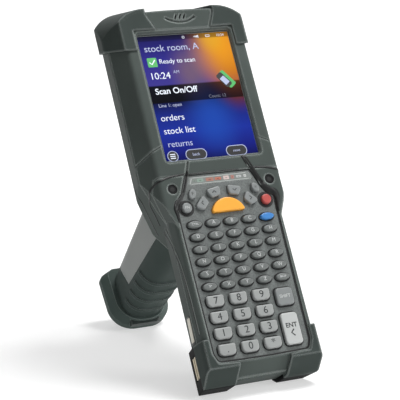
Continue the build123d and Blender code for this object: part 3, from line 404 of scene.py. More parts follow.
def strap(points, widths, rise, nodes, normal):
    """A soft-edged strip that lies on the casing along a smooth path, left out over seams."""
    normal = Vector(normal).normalized()
    line = smooth_path([Vector((*p, 0)[:3]) for p in points])
    steps = (len(line) - 1) / (len(widths) - 1)
    profile = [(-0.5, -STRAP_SINK), *[(u, rise * h) for u, h in STRAP_PROFILE], (0.5, -STRAP_SINK)]
    shape = bmesh.new()
    rings = []
    for i, spot in enumerate(line):
        along = (line[min(i + 1, len(line) - 1)] - line[max(i - 1, 0)]).normalized()
        across = along.cross(normal).normalized()
        share = min(i / steps, len(widths) - LAST_WIDTH)
        one, other = widths[int(share):int(share) + 2]
        width = one + (other - one) * (share - int(share))
        under = [drop(spot + across * width * u, normal, nodes) for u, _ in profile]
        if None not in under:
            rings.append([shape.verts.new(place + normal * h) for place, (_, h) in zip(under, profile)])
    if len(rings) < 2:
        raise RuntimeError("the strap lies on nothing")
    for one, other in zip(rings, rings[1:]):
        for j in range(len(profile)):
            k = (j + 1) % len(profile)
            shape.faces.new((one[j], one[k], other[k], other[j]))
    shape.faces.new(rings[0])
    shape.faces.new(rings[-1][::-1])
    piece = linked(shape, "strap")
    edit(piece)
    bpy.ops.mesh.select_all(action="SELECT")
    bpy.ops.mesh.faces_shade_smooth()
    leave()
    return piece


def joined(pieces):
    """Several drawn shapes as one piece."""
    bpy.ops.object.select_all(action="DESELECT")
    for piece in pieces:
        piece.select_set(True)
    bpy.context.view_layer.objects.active = pieces[0]
    bpy.ops.object.join()
    return pieces[0]


# Sizes and colours that a user may change


def colour_of(what, name, default):
    """The property that holds the colour of something."""
    return bpy.props.FloatVectorProperty(name=name, description="Colour of " + what, subtype="COLOR",
                                         size=3, min=0, max=1, default=default)


class TerminalColours(bpy.types.PropertyGroup):
    """Colours of the terminal's finishes."""
    housing: colour_of("the housings", "Housing", (0.074, 0.088, 0.082))
    bumper: colour_of("the rubber bumpers", "Bumpers", (0.050, 0.061, 0.057))
    palm: colour_of("the grip's rubber", "Palm grip", (0.047, 0.062, 0.057))
    grip: colour_of("the grip's shells", "Grip", (0.190, 0.205, 0.195))
    panel: colour_of("the keypad panel", "Keypad panel", (0.128, 0.142, 0.138))
    letter_key: colour_of("the letter keys", "Letter keys", (0.145, 0.158, 0.154))
    number_key: colour_of("the number keys", "Number keys", (0.315, 0.329, 0.324))
    enter_key: colour_of("the enter key", "Enter key", (0.480, 0.497, 0.490))
    grey_key: colour_of("the arrow and shift keys", "Grey keys", (0.225, 0.240, 0.240))
    scan_key: colour_of("the scan key", "Scan key", (0.900, 0.400, 0.045))
    power_key: colour_of("the power key", "Power key", (0.470, 0.080, 0.070))
    blue_key: colour_of("the second-function key", "Blue key", (0.050, 0.220, 0.560))


class TerminalDisplay(bpy.types.PropertyGroup):
    """The display's picture."""
    width: bpy.props.FloatProperty(
        name="Width", description="Width of the picture", unit="LENGTH", min=0.01, default=55.4 * MM)
    height: bpy.props.FloatProperty(
        name="Height", description="Height of the picture", unit="LENGTH", min=0.01, default=74.6 * MM)
    glow: bpy.props.FloatProperty(
        name="Brightness", description="Brightness of the picture", min=0, max=10, default=1.0)


class TerminalStage(bpy.types.PropertyGroup):
    """Floor, lights and camera."""
    floor: colour_of("the floor", "Floor", (0.62, 0.62, 0.62))
    key_light: bpy.props.FloatProperty(
        name="Key light", description="Power of the main light", unit="POWER", min=0, default=12.5)
    fill_light: bpy.props.FloatProperty(
        name="Fill light", description="Power of the fill light", unit="POWER", min=0, default=5.5)
    sky: bpy.props.FloatProperty(
        name="Surroundings", description="Brightness of the surroundings", min=0, default=0.28)
    floor_glow: bpy.props.FloatProperty(
        name="Floor glow", description="Light that the floor gives of itself", min=0, default=0.50)
    lens: bpy.props.FloatProperty(
        name="Lens", description="Focal length of the camera", subtype="DISTANCE_CAMERA",
        min=1, default=132.46)


# Pieces

CAMERA_SPOT = Vector((-331.29, -284.156, 691.648)) * MM
CAMERA_RIGHT = Vector((0.910345, -0.229287, 0.344528))
CAMERA_UP = Vector((0.103237, 0.931992, 0.347466))
CAMERA_NUDGE = Vector((-0.45, 0.45)) * MM
SENSOR_WIDTH = 36
VIEW_END = 20
FLOOR_HALF = 3.0
BACKDROP_HEIGHT = 4.0
BACKDROP_BEND = 1.2
BEND_SEGMENTS = 12
FOOT_HEIGHT = 0.1
FADE_FROM = -0.5
FADE_TO = -0.11
LEFT_GLOW = 0.06
GLOW_FROM = 0.25
GLOW_TO = 1.2
FAR_GLOW = 0.95
LIGHT_TARGET = Vector((0, 0, 0.1))
LIGHTS = {"key_light": ((0.35, -0.25, 1.20), 0.45), "fill_light": ((1.05, -0.75, 0.30), 0.4),
          "top_light": ((-0.10, 0.45, 1.10), 0.35)}
TOP_SHARE = 0.3


class TERMINAL_OT_stage(bpy.types.Operator):
    """Floor, surroundings, soft lights and the camera"""
    bl_idname = "terminal.stage"
    bl_label = "Stage"

    def execute(self, context):
        settings = context.scene.terminal_stage
        bpy.ops.object.select_all(action="DESELECT")
        bpy.ops.mesh.primitive_plane_add(size=2 * FLOOR_HALF)
        floor = context.object
        floor.name = "floor"
        edit(floor)
        self.pick(floor, lambda spot: spot.y > 0)
        bpy.ops.mesh.extrude_region_move(TRANSFORM_OT_translate={"value": (0, 0, BACKDROP_HEIGHT)})
        self.pick(floor, lambda spot: spot.y > 0 and spot.z < FOOT_HEIGHT)
        bpy.ops.mesh.bevel(offset=BACKDROP_BEND, segments=BEND_SEGMENTS)
        bpy.ops.mesh.select_all(action="SELECT")
        bpy.ops.mesh.faces_shade_smooth()
        leave()
        paper = finish("floor", settings.floor, 0.9, grain=2.0, depth=0.0, mottle=0.01, amount=0.0,
                       shine=0.0)
        shader = paper.node_tree.nodes["Principled BSDF"]
        shader.inputs["Emission Color"].default_value = (1, 1, 1, 1)
        self.fade(paper.node_tree, shader, settings.floor_glow)
        floor.data.materials.append(paper)
        world = context.scene.world or bpy.data.worlds.new("surroundings")
        context.scene.world = world
        world.use_nodes = True
        background = world.node_tree.nodes["Background"]
        background.inputs["Color"].default_value = (1, 1, 1, 1)
        background.inputs["Strength"].default_value = settings.sky
        powers = (settings.key_light, settings.fill_light, TOP_SHARE * settings.fill_light)
        for (name, (spot, size)), power in zip(LIGHTS.items(), powers):
            self.light(name, spot, size, power)
        context.scene.view_settings.view_transform = "Standard"
        self.camera(context, settings)
        return {"FINISHED"}

    def pick(self, floor, wanted):
        """Selects only the edges that lie where they are wanted."""
        bpy.ops.mesh.select_all(action="DESELECT")
        shape = bmesh.from_edit_mesh(floor.data)
        for edge in shape.edges:
            edge.select_set(all(wanted(v.co) for v in edge.verts))
        bmesh.update_edit_mesh(floor.data)

    def fade(self, tree, shader, glow):
        """The floor glows more far behind the terminal, and less towards the left."""
        split = tree.nodes.new("ShaderNodeSeparateXYZ")
        feed(tree, split.inputs["Vector"], tree.nodes.new("ShaderNodeTexCoord").outputs["Object"])
        both = tree.nodes.new("ShaderNodeMath")
        both.operation = "MULTIPLY"
        ways = [("X", FADE_FROM, FADE_TO, LEFT_GLOW, 1.0), ("Y", GLOW_FROM, GLOW_TO, glow, FAR_GLOW)]
        for socket, (axis, *ends) in zip(both.inputs, ways):
            feed(tree, socket, ranged(tree, split.outputs[axis], *ends, "SMOOTHSTEP"))
        feed(tree, shader.inputs["Emission Strength"], both.outputs["Value"])

    def light(self, name, spot, size, power):
        """A soft square light that faces the terminal."""
        bpy.ops.object.light_add(type="AREA", location=spot)
        lamp = bpy.context.object
        lamp.name = name
        lamp.data.size = size
        lamp.data.energy = power
        lamp.rotation_euler = (LIGHT_TARGET - Vector(spot)).to_track_quat("-Z", "Y").to_euler()

    def camera(self, context, settings):
        """The camera's place and turn are set against the display's middle."""
        view = bpy.data.cameras.new("camera")
        view.lens = settings.lens
        view.sensor_width = SENSOR_WIDTH
        view.clip_end = VIEW_END
        holder = bpy.data.objects.new("camera", view)
        context.scene.collection.objects.link(holder)
        display = FACE @ Matrix.Translation((0, SEAM_TO_DISPLAY, 0))
        back = CAMERA_RIGHT.cross(CAMERA_UP)
        turn = Matrix((CAMERA_RIGHT, CAMERA_UP, back)).transposed().to_4x4()
        spot = CAMERA_SPOT + CAMERA_NUDGE.x * CAMERA_RIGHT + CAMERA_NUDGE.y * CAMERA_UP
        holder.matrix_world = display @ Matrix.Translation(spot) @ turn
        context.scene.camera = holder


BLACK = (0.006, 0.007, 0.007)
CASING_SHINE = 0.01
# The rubber's wide, strong edge lightening is a painted highlight, partly rubbed wear
RUBBER = {"roughness": 0.45, "grain": 0.7, "depth": 0.03, "edge": 1.9, "amount": 0.9, "mottle": 0.25,
          "shine": CASING_SHINE}
SOLE_LEVELS = {"left": -9.0 * MM, "right": -13.0 * MM}


class TERMINAL_OT_casings(bpy.types.Operator):
    """Finishes of the housings, bumpers, keypad panel and seals"""
    bl_idname = "terminal.casings"
    bl_label = "Casings"

    def execute(self, context):
        colours = context.scene.terminal_colours
        # The housing's wide, strong edge lightening is a painted highlight on its fillets, partly rubbed
        # wear
        housing = finish("housing", colours.housing, 0.42, grain=0.55, depth=0.03, edge=1.8, amount=0.9,
                         mottle=0.22, shine=CASING_SHINE)
        bumper = finish("bumper", colours.bumper, **RUBBER)
        panel = finish("panel", colours.panel, 0.5, grain=0.8, depth=0.03, speck=0.65, edge=0.3)
        black = finish("black_rubber", BLACK, 0.5, grain=0.4, depth=0.01, amount=0.2)
        dress(housing, "front_housing", "rear_housing", "keypad_frame", "speaker_cover")
        dress(bumper, "left_head_bumper", "right_head_bumper")
        for side, level in SOLE_LEVELS.items():
            tail = finish(f"{side}_tail_bumper", colours.bumper, **RUBBER)
            dress(sole(tail, level), f"{side}_tail_bumper")
        dress(panel, "keypad_panel")
        dress(black, "keypad_gasket")
        return {"FINISHED"}


GRIP_SHINE = 0.04
# The battery cap takes the palm rubber's colour made lighter: painted light, standing for the light
# falling on its top
FOOT_PAINTED_LIGHT_GAIN = 1.5
LEVER_GAIN = 0.8


class TERMINAL_OT_grip(bpy.types.Operator):
    """Finishes of the grip, its rubber, trigger and foot"""
    bl_idname = "terminal.grip"
    bl_label = "Grip"

    def execute(self, context):
        colours = context.scene.terminal_colours
        shell = finish("grip_shell", colours.grip, 0.5, grain=0.45, depth=0.02, edge=0.5)
        palm = finish("palm_rubber", colours.palm, 0.55, grain=0.5, depth=0.025, edge=0.8, amount=0.6,
                      shine=GRIP_SHINE)
        # Lighter copy of the palm rubber: painted light on the foot
        foot = finish("foot", [c * FOOT_PAINTED_LIGHT_GAIN for c in colours.palm], 0.45, grain=0.5, depth=0.02,
                      edge=0.9, shine=GRIP_SHINE)
        lever = finish("trigger", [c * LEVER_GAIN for c in colours.palm], 0.45, grain=0.4, depth=0.015)
        cell = finish("battery_case", (0.02, 0.021, 0.022), 0.4, grain=0.4, depth=0.01)
        dress(shell, "left_grip_shell", "right_grip_shell")
        dress(palm, "palm_grip")
        dress(foot, "battery_cap")
        dress(lever, "battery_latch", "trigger")
        dress(cell, "battery_pack")
        return {"FINISHED"}


class TERMINAL_OT_inner_parts(bpy.types.Operator):
    """Finishes of the boards, scan engine, screws, contacts and windows"""
    bl_idname = "terminal.inner_parts"
    bl_label = "Inner parts"

    def execute(self, context):
        board = finish("board", (0.02, 0.10, 0.04), 0.4, grain=0.8, depth=0.02)
        dark = finish("dark_plastic", (0.018, 0.019, 0.02), 0.4, grain=0.4, depth=0.01)
        steel = finish("bright_steel", (0.45, 0.45, 0.45), 0.3, grain=0.3, depth=0.004, metallic=1.0)
        screw = finish("black_steel", (0.012, 0.012, 0.013), 0.4, grain=0.3, depth=0.006, metallic=0.6)
        gold = finish("contact_gold", (0.62, 0.52, 0.32), 0.3, grain=0.3, depth=0.004, metallic=0.9)
        dress(board, "main_circuit_board", "keypad_circuit_board", "grip_circuit_board")
        dress(dark, "scan_engine", "speaker", "lcd_module")
        dress(steel, "trigger_pin", "trigger_spring")
        dress(screw, "case_screws", "keypad_screws")
        dress(gold, "dock_contacts")
        dress(glass("touch_glass", (0.01, 0.01, 0.012), 0.08, 1.0), "touch_panel")
        dress(glass("scan_glass", (0.06, 0.006, 0.008), 0.05, 0.8), "scan_window")
        dress(glass("indicator_glass", (0.23, 0.25, 0.24), 0.25, 1.0), "indicator_window")
        return {"FINISHED"}


NUMBERS = {"key_7": "7", "key_8": "8", "key_9": "9", "key_4": "4", "key_5": "5", "key_6": "6",
           "key_1": "1", "key_2": "2", "key_3": "3", "point_key": ".", "key_0": "0", "star_key": "*"}
NAV_TURNS = {"nav_left_key": 0.5, "nav_up_key": 0.0, "nav_down_key": 1.0, "nav_right_key": -0.5}
APP_SIGNS = {"left_app_key": "F", "right_app_key": "="}
COLUMNS = [f"letter_keys_column_{i + 1}" for i in range(5)]
ROWS = ["^ABC", "DEFGH", "IJKLM", "NOPQR", "STUVW", "_XYZ<"]
WORDS = {"^": "CTRL", "_": "SP", "<": "BKSP"}
LETTER_SIZE = 2.7 * MM
WORD_SIZE = 1.7 * MM
NUMBER_SIZE = 5.5 * MM
SIGN_SIZE = 2.6 * MM
SMALL_SIGN_SIZE = 2.2 * MM
ENTER_SIZE = 3.6 * MM
ENTER_WEIGHT = 0.018
ENTER_WORD_UP = 1.6 * MM
ENTER_ARROW_DOWN = 2.4 * MM


def letter_spots(column):
    """Centres of a column's letter keys, from the top row down, which is level with the blue key."""
    low, high = face_box(COLUMNS[column])
    count = sum(len(row) > column for row in ROWS)
    half = face_box(COLUMNS[0])[1].y - middle("blue_key")[1]
    step = (high.y - low.y - 2 * half) / (count - 1)
    return [((low.x + high.x) / 2, high.y - half - i * step) for i in range(count)]


class TERMINAL_OT_keys(bpy.types.Operator):
    """Finishes of the keys"""
    bl_idname = "terminal.keys"
    bl_label = "Keys"

    def execute(self, context):
        colours = context.scene.terminal_colours
        letters = finish("letter_key", colours.letter_key, 0.4, grain=0.5, depth=0.01, edge=0.6)
        # The lighter edge colours of the number, scan and enter keys are painted highlights, partly
        # rubbed wear
        numbers = finish("number_key", colours.number_key, 0.4, grain=0.5, depth=0.01, edge=0.5,
                         highlight_and_wear=(0.75, 0.76, 0.76))
        grey = finish("grey_key", colours.grey_key, 0.4, grain=0.5, depth=0.01, edge=0.5)
        scan = finish("scan_key", colours.scan_key, 0.35, grain=0.6, depth=0.008, mottle=0.06,
                      highlight_and_wear=(1.0, 0.62, 0.16), amount=0.5)
        power = finish("power_key", colours.power_key, 0.35, grain=0.6, depth=0.008, mottle=0.06)
        blue = finish("blue_key", colours.blue_key, 0.35, grain=0.6, depth=0.008, mottle=0.06)
        enter = finish("enter_key", colours.enter_key, 0.4, grain=0.5, depth=0.01, mottle=0.05, edge=0.5,
                       highlight_and_wear=(0.82, 0.83, 0.83))
        dress(letters, *COLUMNS)
        dress(numbers, *NUMBERS)
        dress(grey, *APP_SIGNS, *NAV_TURNS, "function_key", "shift_key")
        dress(enter, "enter_key")
        dress(scan, "scan_key")
        dress(power, "power_key")
        dress(blue, "blue_key")
        return {"FINISHED"}


class TERMINAL_OT_legends(bpy.types.Operator):
    """Characters and signs printed on the keys"""
    bl_idname = "terminal.legends"
    bl_label = "Legends"

    def execute(self, context):
        white = ("light_key", ink("legend_white", (0.60, 0.62, 0.61)))
        dark = ("dark_key", ink("legend_dark", (0.018, 0.020, 0.022)))
        for column, body in enumerate(COLUMNS):
            marks = []
            rows = [row for row in ROWS if len(row) > column]
            for row, (x, y) in zip(rows, letter_spots(column)):
                sign = WORDS.get(row[column], row[column])
                size = LETTER_SIZE if len(sign) == 1 else WORD_SIZE
                marks.append(legend(sign, size, x, y, KEY_TOP))
            settle(joined(marks), f"letters_{column + 1}", body, *white)
        for node, sign in NUMBERS.items():
            self.sign(node, sign, NUMBER_SIZE, dark, "numeral_")
        x, y = middle("enter_key")
        word = legend("ENT", ENTER_SIZE, x, y + ENTER_WORD_UP, KEY_TOP, ENTER_WEIGHT)
        back = arrow(ENTER_SIZE, x, y - ENTER_ARROW_DOWN, KEY_TOP, math.pi / 2)
        settle(joined([word, back]), "enter_sign", "enter_key", *dark)
        word = legend("SHIFT", SIGN_SIZE, *middle("shift_key"), KEY_TOP)
        settle(word, "shift_sign", "shift_key", *white)
        for node, turn in NAV_TURNS.items():
            piece = arrow(SMALL_SIGN_SIZE, *middle(node), KEY_TOP, turn * math.pi)
            settle(piece, f"sign_{node}", node, *dark)
        for node, sign in APP_SIGNS.items():
            self.sign(node, sign, SIGN_SIZE, dark)
        self.sign("function_key", "FN", SMALL_SIGN_SIZE, white)
        return {"FINISHED"}

    def sign(self, node, words, size, print_with, prefix="sign_"):
        """One sign in the middle of a key."""
        settle(legend(words, size, *middle(node), KEY_TOP), prefix + node, node, *print_with)


KEY_FLANGE = 0.9 * MM
RIM_GAP = 0.15 * MM
RIM_BAND = 0.75 * MM
RIM_RISE = 0.12 * MM
RIM_GROW = 2 * (RIM_GAP + RIM_BAND)
NUMBER_CORNER = 2.6 * MM
WIDE_CORNER = 2.0 * MM


def cap_size(node):
    """Width and height of a key's cap, inside its flange."""
    low, high = face_box(node)
    return high.x - low.x - 2 * KEY_FLANGE, high.y - low.y - 2 * KEY_FLANGE


class TERMINAL_OT_key_rims(bpy.types.Operator):
    """Dark rims on the panel round the keys: painted shade in the gap round each key, and a black gasket
    ring round the function and power keys
    """
    bl_idname = "terminal.key_rims"
    bl_label = "Key rims"

    def execute(self, context):
        # The black band round each key is painted shade of the gap round it; round the function and
        # power keys it is also the black gasket ring
        black = finish("key_gap_shade", (0.008, 0.009, 0.009), 0.5, grain=0.4, depth=0.008, amount=0.1)
        rims = []
        width, height = cap_size("blue_key")
        spots = [spot for column in range(len(COLUMNS)) for spot in letter_spots(column)]
        for x, y in [middle("blue_key"), *spots]:
            rims.append(disc(width + RIM_GROW, height + RIM_GROW, RIM_RISE, x, y, PANEL_TOP, RIM_BAND))
        for node in [*NUMBERS, "shift_key", "enter_key"]:
            width, height = cap_size(node)
            corner = (NUMBER_CORNER if node in NUMBERS else WIDE_CORNER) + RIM_GROW / 2
            rims.append(plate(width + RIM_GROW, height + RIM_GROW, RIM_RISE, corner, *middle(node),
                              PANEL_TOP, band=RIM_BAND))
        for node in ("function_key", "power_key"):
            width = cap_size(node)[0] + 2 * RIM_GROW
            rims.append(disc(width, width, RIM_RISE, *middle(node), PANEL_TOP, RIM_BAND + RIM_GROW / 2))
        settle(joined(rims), "key_rims", "case", "gasket", black)
        return {"FINISHED"}


# The display's inks: colour and glow
PICTURE_INKS = {"white": ((0.62, 0.66, 0.74), 0.35), "pale": ((0.34, 0.38, 0.55), 0.30),
                "dim": ((0.10, 0.11, 0.16), 0.20), "dark": ((0.010, 0.010, 0.012), 0.0),
                "green": ((0.05, 0.34, 0.08), 0.30)}
# Height and indent as shares of the picture, words, size in millimetres, ink and weight
LINES = [(0.895, 0.05, "stock room, A", 5.6, "pale", 0.0),
         (0.787, 0.18, "Ready to scan", 3.9, "white", 0.0),
         (0.672, 0.06, "10:24", 5.6, "white", 0.0), (0.697, 0.30, "AM", 2.6, "pale", 0.0),
         (0.548, 0.06, "Scan On/Off", 5.0, "white", 0.016), (0.480, 0.62, "Count: 12", 2.6, "dim", 0.0),
         (0.435, 0.06, "Line 1: open", 2.8, "pale", 0.0), (0.335, 0.05, "orders", 5.2, "white", 0.0),
         (0.232, 0.05, "stock list", 5.2, "white", 0.0), (0.128, 0.06, "returns", 5.0, "pale", 0.0)]
ICON_SIZE = 5.6 * MM
ICON_CORNER = 0.6 * MM
ICON_ROW = 0.785
TICK = [(-1.6 * MM, 0.2 * MM), (-0.4 * MM, -1.2 * MM), (1.8 * MM, 1.5 * MM)]
TICK_WIDTH = 0.7 * MM
TILT = math.radians(38)
# Width, height and corner in millimetres, place across and up as shares, layer and ink
TILTED = {"card": (5.0, 11.0, 1.0, 0.36, 0.61, 1, "green"),
          "handset": (4.4, 9.6, 1.2, 0.33, 0.605, 2, "dark"),
          "handset_screen": (3.2, 5.0, 0.3, 0.335, 0.60, 3, "pale")}
WINDOW_GROW = 0.9 * MM
WINDOW_CORNER = 0.9 * MM
WINDOW_BAND = 0.42 * MM
BUTTON_ROW = 0.035
BUTTONS = {"left": (-0.17, "back"), "right": (0.27, "next")}
BUTTON_RIM = (12.6 * MM, 6.2 * MM, INK, 2.9 * MM)
BUTTON_FACE = (11.8 * MM, 5.4 * MM, INK, 2.6 * MM)
BUTTON_WORD = 2.4 * MM
ROUND_INDENT = 4.4 * MM
ROUND_RIM = (6.4 * MM, 6.4 * MM, INK)
ROUND_FACE = (5.6 * MM, 5.6 * MM, INK)
ROUND_BAR = (3.0 * MM, 0.55 * MM, INK, 0.15 * MM)
ROUND_BAR_STEP = 1.15
STATUS_ROW = 0.975
STATUS_WORD = 2.2 * MM
BARS_AT, BATTERY_AT, TIME_AT = 0.12, 0.27, 0.41
BAR_HEIGHTS = [0.6 * MM, 1.0 * MM, 1.4 * MM, 1.8 * MM]
BAR_WIDTH = 0.5 * MM
BAR_STEP = 0.8 * MM
RING = (1.6 * MM, 1.6 * MM, INK)
RING_BAND = 0.3 * MM
BATTERY = (2.6 * MM, 1.3 * MM, INK, 0.2 * MM)
BATTERY_BAND = 0.25 * MM
LOWEST_LAYER = 0.02 * MM
PICTURE_BASE = (0.003, 0.003, 0.006, 1)
PICTURE_ROUGHNESS = 0.2
PICTURE_SHINE = 0.12
FIELD_STOPS = [(0.00, (0.004, 0.006, 0.10)), (0.08, (0.008, 0.014, 0.22)), (0.22, (0.010, 0.030, 0.34)),
               (0.36, (0.008, 0.020, 0.22)), (0.455, (0.003, 0.006, 0.05)),
               (0.46, (0.001, 0.001, 0.004)), (0.59, (0.004, 0.004, 0.015)),
               (0.60, (0.050, 0.040, 0.28)), (0.80, (0.030, 0.026, 0.26)),
               (0.95, (0.012, 0.010, 0.14)), (1.00, (0.006, 0.006, 0.05))]
SHADE_STOPS = [(0.0, (1, 1, 1)), (0.455, (1, 1, 1)), (0.46, (0.14, 0.14, 0.16)),
               (0.59, (0.22, 0.22, 0.26)), (0.60, (1, 1, 1)), (0.955, (1, 1, 1)),
               (0.965, (0.45, 0.45, 0.5)), (1.0, (0.35, 0.35, 0.4))]
# Middle, reach, colour and strength of the picture's patches of light
PATCHES = [((0.50, 0.70), 0.30, (0.20, 0.12, 0.16), 0.8), ((0.96, 0.72), 0.42, (0.36, 0.06, 0.012), 1.0),
           ((0.90, 0.90), 0.46, (0.86, 0.33, 0.008), 1.0), ((0.80, 0.98), 0.20, (0.80, 0.42, 0.02), 0.7),
           ((0.60, 0.30), 0.36, (0.012, 0.075, 0.46), 0.8)]
PATCH_CORE = 0.02


def layer(step):
    """Height of one layer of the picture over the glass."""
    return LOWEST_LAYER + step * INK


def row_at(share, height):
    """Height of a row of the picture, as a share from its foot."""
    return SEAM_TO_DISPLAY + (share - 0.5) * height


class TERMINAL_OT_display(bpy.types.Operator):
    """The picture on the display: a deep blue field with a warm glow, and plain signs"""
    bl_idname = "terminal.display"
    bl_label = "Display"

    def execute(self, context):
        settings = context.scene.terminal_display
        w, h = settings.width, settings.height
        settle(self.field(w, h), "display_picture", "case", "lcd", self.picture_finish(settings.glow))
        self.inks = {name: ink(f"picture_{name}", *look) for name, look in PICTURE_INKS.items()}
        for i, (share, indent, words, size, shade, weight) in enumerate(LINES):
            piece = legend(words, size * MM, 0, 0, 0, weight)
            left = min(v.co.x for v in piece.data.vertices)
            piece.data.transform(spot_matrix(-w / 2 + indent * w - left, row_at(share, h), layer(1)))
            self.show(piece, f"line_{i}", shade)
        x, y = -w / 2 + ICON_SIZE, row_at(ICON_ROW, h)
        self.show(plate(ICON_SIZE, ICON_SIZE, INK, ICON_CORNER, x, y, layer(1)), "icon", "green")
        self.show(ribbon(TICK, TICK_WIDTH, spot_matrix(x, y, layer(2))), "tick", "white")
        for name, (wide, tall, corner, across, up, step, shade) in TILTED.items():
            piece = plate(wide * MM, tall * MM, INK, corner * MM, across * w, row_at(up, h), layer(step),
                          TILT)
            self.show(piece, name, shade)
        # A lighter ring round the window: painted highlight on the bezel's chamfer
        rim = finish("window_highlight_rim", (0.19, 0.21, 0.205), 0.35, grain=0.5, depth=0.01, edge=0.2)
        border = plate(w + WINDOW_GROW, h + WINDOW_GROW, INK, WINDOW_CORNER, 0, SEAM_TO_DISPLAY,
                       layer(0), band=WINDOW_BAND)
        settle(border, "window_highlight_rim", "case", "housing", rim)
        self.buttons(w, h)
        self.status(w, h)
        return {"FINISHED"}

    def show(self, piece, name, shade):
        """One printed piece of the picture."""
        settle(piece, f"display_{name}", "case", "lcd", self.inks[shade])

    def field(self, width, height):
        """The picture's plate, with its own 0 to 1 map."""
        bpy.ops.object.select_all(action="DESELECT")
        bpy.ops.mesh.primitive_grid_add(x_subdivisions=4, y_subdivisions=6, size=1)
        piece = bpy.context.object
        edit(piece)
        bpy.ops.transform.resize(value=(width, height, 1))
        leave()
        piece.data.transform(Matrix.Translation((0, SEAM_TO_DISPLAY, layer(0))))
        return piece

    def picture_finish(self, glow):
        """Blue field, warm glow at the upper right and a dark band for the chosen row."""
        material = bpy.data.materials.new("picture")
        material.use_nodes = True
        tree = material.node_tree
        shader = tree.nodes["Principled BSDF"]
        shader.inputs["Base Color"].default_value = PICTURE_BASE
        shader.inputs["Roughness"].default_value = PICTURE_ROUGHNESS
        shader.inputs["Specular IOR Level"].default_value = PICTURE_SHINE
        shader.inputs["Emission Strength"].default_value = glow
        chart = tree.nodes.new("ShaderNodeUVMap").outputs["UV"]
        split = tree.nodes.new("ShaderNodeSeparateXYZ")
        feed(tree, split.inputs["Vector"], chart)
        light = self.ramp(tree, split.outputs["Y"], FIELD_STOPS)
        for centre, reach, colour, most in PATCHES:
            gap = measured(tree, "DISTANCE", chart, (*centre, 0))
            near = ranged(tree, gap, reach, PATCH_CORE, 0.0, most, "SMOOTHSTEP")
            light = mixed(tree, near, light, (*colour, 1))
        shade = self.ramp(tree, split.outputs["Y"], SHADE_STOPS)
        feed(tree, shader.inputs["Emission Color"], mixed(tree, 1.0, light, shade, "MULTIPLY"))
        return material

    def ramp(self, tree, socket, stops):
        """A colour ramp over one value."""
        ramp = tree.nodes.new("ShaderNodeValToRGB")
        band = ramp.color_ramp
        band.elements[0].position, band.elements[0].color = stops[0][0], (*stops[0][1], 1)
        band.elements[1].position, band.elements[1].color = stops[-1][0], (*stops[-1][1], 1)
        for position, colour in stops[1:-1]:
            band.elements.new(position).color = (*colour, 1)
        feed(tree, ramp.inputs["Fac"], socket)
        return ramp.outputs["Color"]

    def buttons(self, w, h):
        """Two soft buttons and a round one along the picture's foot."""
        y = row_at(BUTTON_ROW, h)
        for name, (share, word) in BUTTONS.items():
            x = share * w
            self.show(plate(*BUTTON_RIM, x, y, layer(1)), f"{name}_button_rim", "pale")
            self.show(plate(*BUTTON_FACE, x, y, layer(2)), f"{name}_button", "dark")
            self.show(legend(word, BUTTON_WORD, x, y, layer(3)), f"{name}_button_word", "pale")
        x = -w / 2 + ROUND_INDENT
        self.show(disc(*ROUND_RIM, x, y, layer(1)), "round_button_rim", "pale")
        self.show(disc(*ROUND_FACE, x, y, layer(2)), "round_button", "dark")
        bars = [plate(*ROUND_BAR, x, y + j * ROUND_BAR_STEP * MM, layer(3)) for j in (-1, 0, 1)]
        self.show(joined(bars), "round_button_bars", "white")

    def status(self, w, h):
        """Small signs along the picture's top: signal bars, a ring, a battery and the time."""
        y = row_at(STATUS_ROW, h)
        signs = [plate(BAR_WIDTH, tall, INK, 0, BARS_AT * w + i * BAR_STEP, y, layer(1))
                 for i, tall in enumerate(BAR_HEIGHTS)]
        signs.append(disc(*RING, 0, y, layer(1), band=RING_BAND))
        signs.append(plate(*BATTERY, BATTERY_AT * w, y, layer(1), band=BATTERY_BAND))
        signs.append(legend("10:24", STATUS_WORD, TIME_AT * w, y, layer(1)))
        self.show(joined(signs), "status", "white")


FACE_NODES = ("front_housing", "keypad_frame", "keypad_panel", "keypad_gasket", "rear_housing")
SIDE_NODES = FACE_NODES + tuple(f"{side}_{end}_bumper" for end in ("head", "tail") for side in SIDES)
CONTACT_NODES = SIDE_NODES + ("dock_contacts",)
OUTWARDS = (0, 0, 1)
SIDEWAYS = (1, 0, 0)
ASLANT = (0.92, -0.36, -0.15)
# Points on the face, widths and rise, all in millimetres
NECK_STRIPS = {
    "right_neck_strip": ([(16.4, 8.3), (17.9, 5.0), (19.7, 0.6), (22.0, -5.1), (23.9, -9.6),
                          (26.6, -12.9), (30.0, -15.1), (30.9, -18.6), (30.0, -22.0), (29.5, -26.0)],
                         [2.6, 3.0, 3.0, 3.0, 3.2, 4.0, 4.2, 3.0, 1.8, 1.0], 0.55),
    "left_neck_strip": ([(-18.0, 2.6), (-19.0, -0.6), (-20.8, -5.0), (-22.9, -9.4), (-25.4, -12.6),
                         (-28.2, -15.2), (-29.4, -18.4), (-29.4, -22.0), (-29.4, -26.0)],
                        [0.9, 1.1, 1.2, 1.3, 2.0, 3.2, 3.2, 2.0, 1.2], 0.5),
    "neck_bead": ([(-18.2, 0.4), (-6.0, 0.6), (6.0, 0.6), (18.0, 0.2)], [0.55] * 4, 0.2)}
# The same with a height, for the right side
SEAM_BEAD = ([(18.1, 0.9, 2.4), (22.9, 0.6, 2.4), (25.9, 0.3, 2.4), (28.9, -0.1, 2.4), (31.3, -0.6, 2.4),
              (33.6, -1.4, 2.4), (35.9, -2.0, 1.5)], [0.8, 0.9, 1.1, 1.2, 1.2, 1.1, 1.0], 0.35)
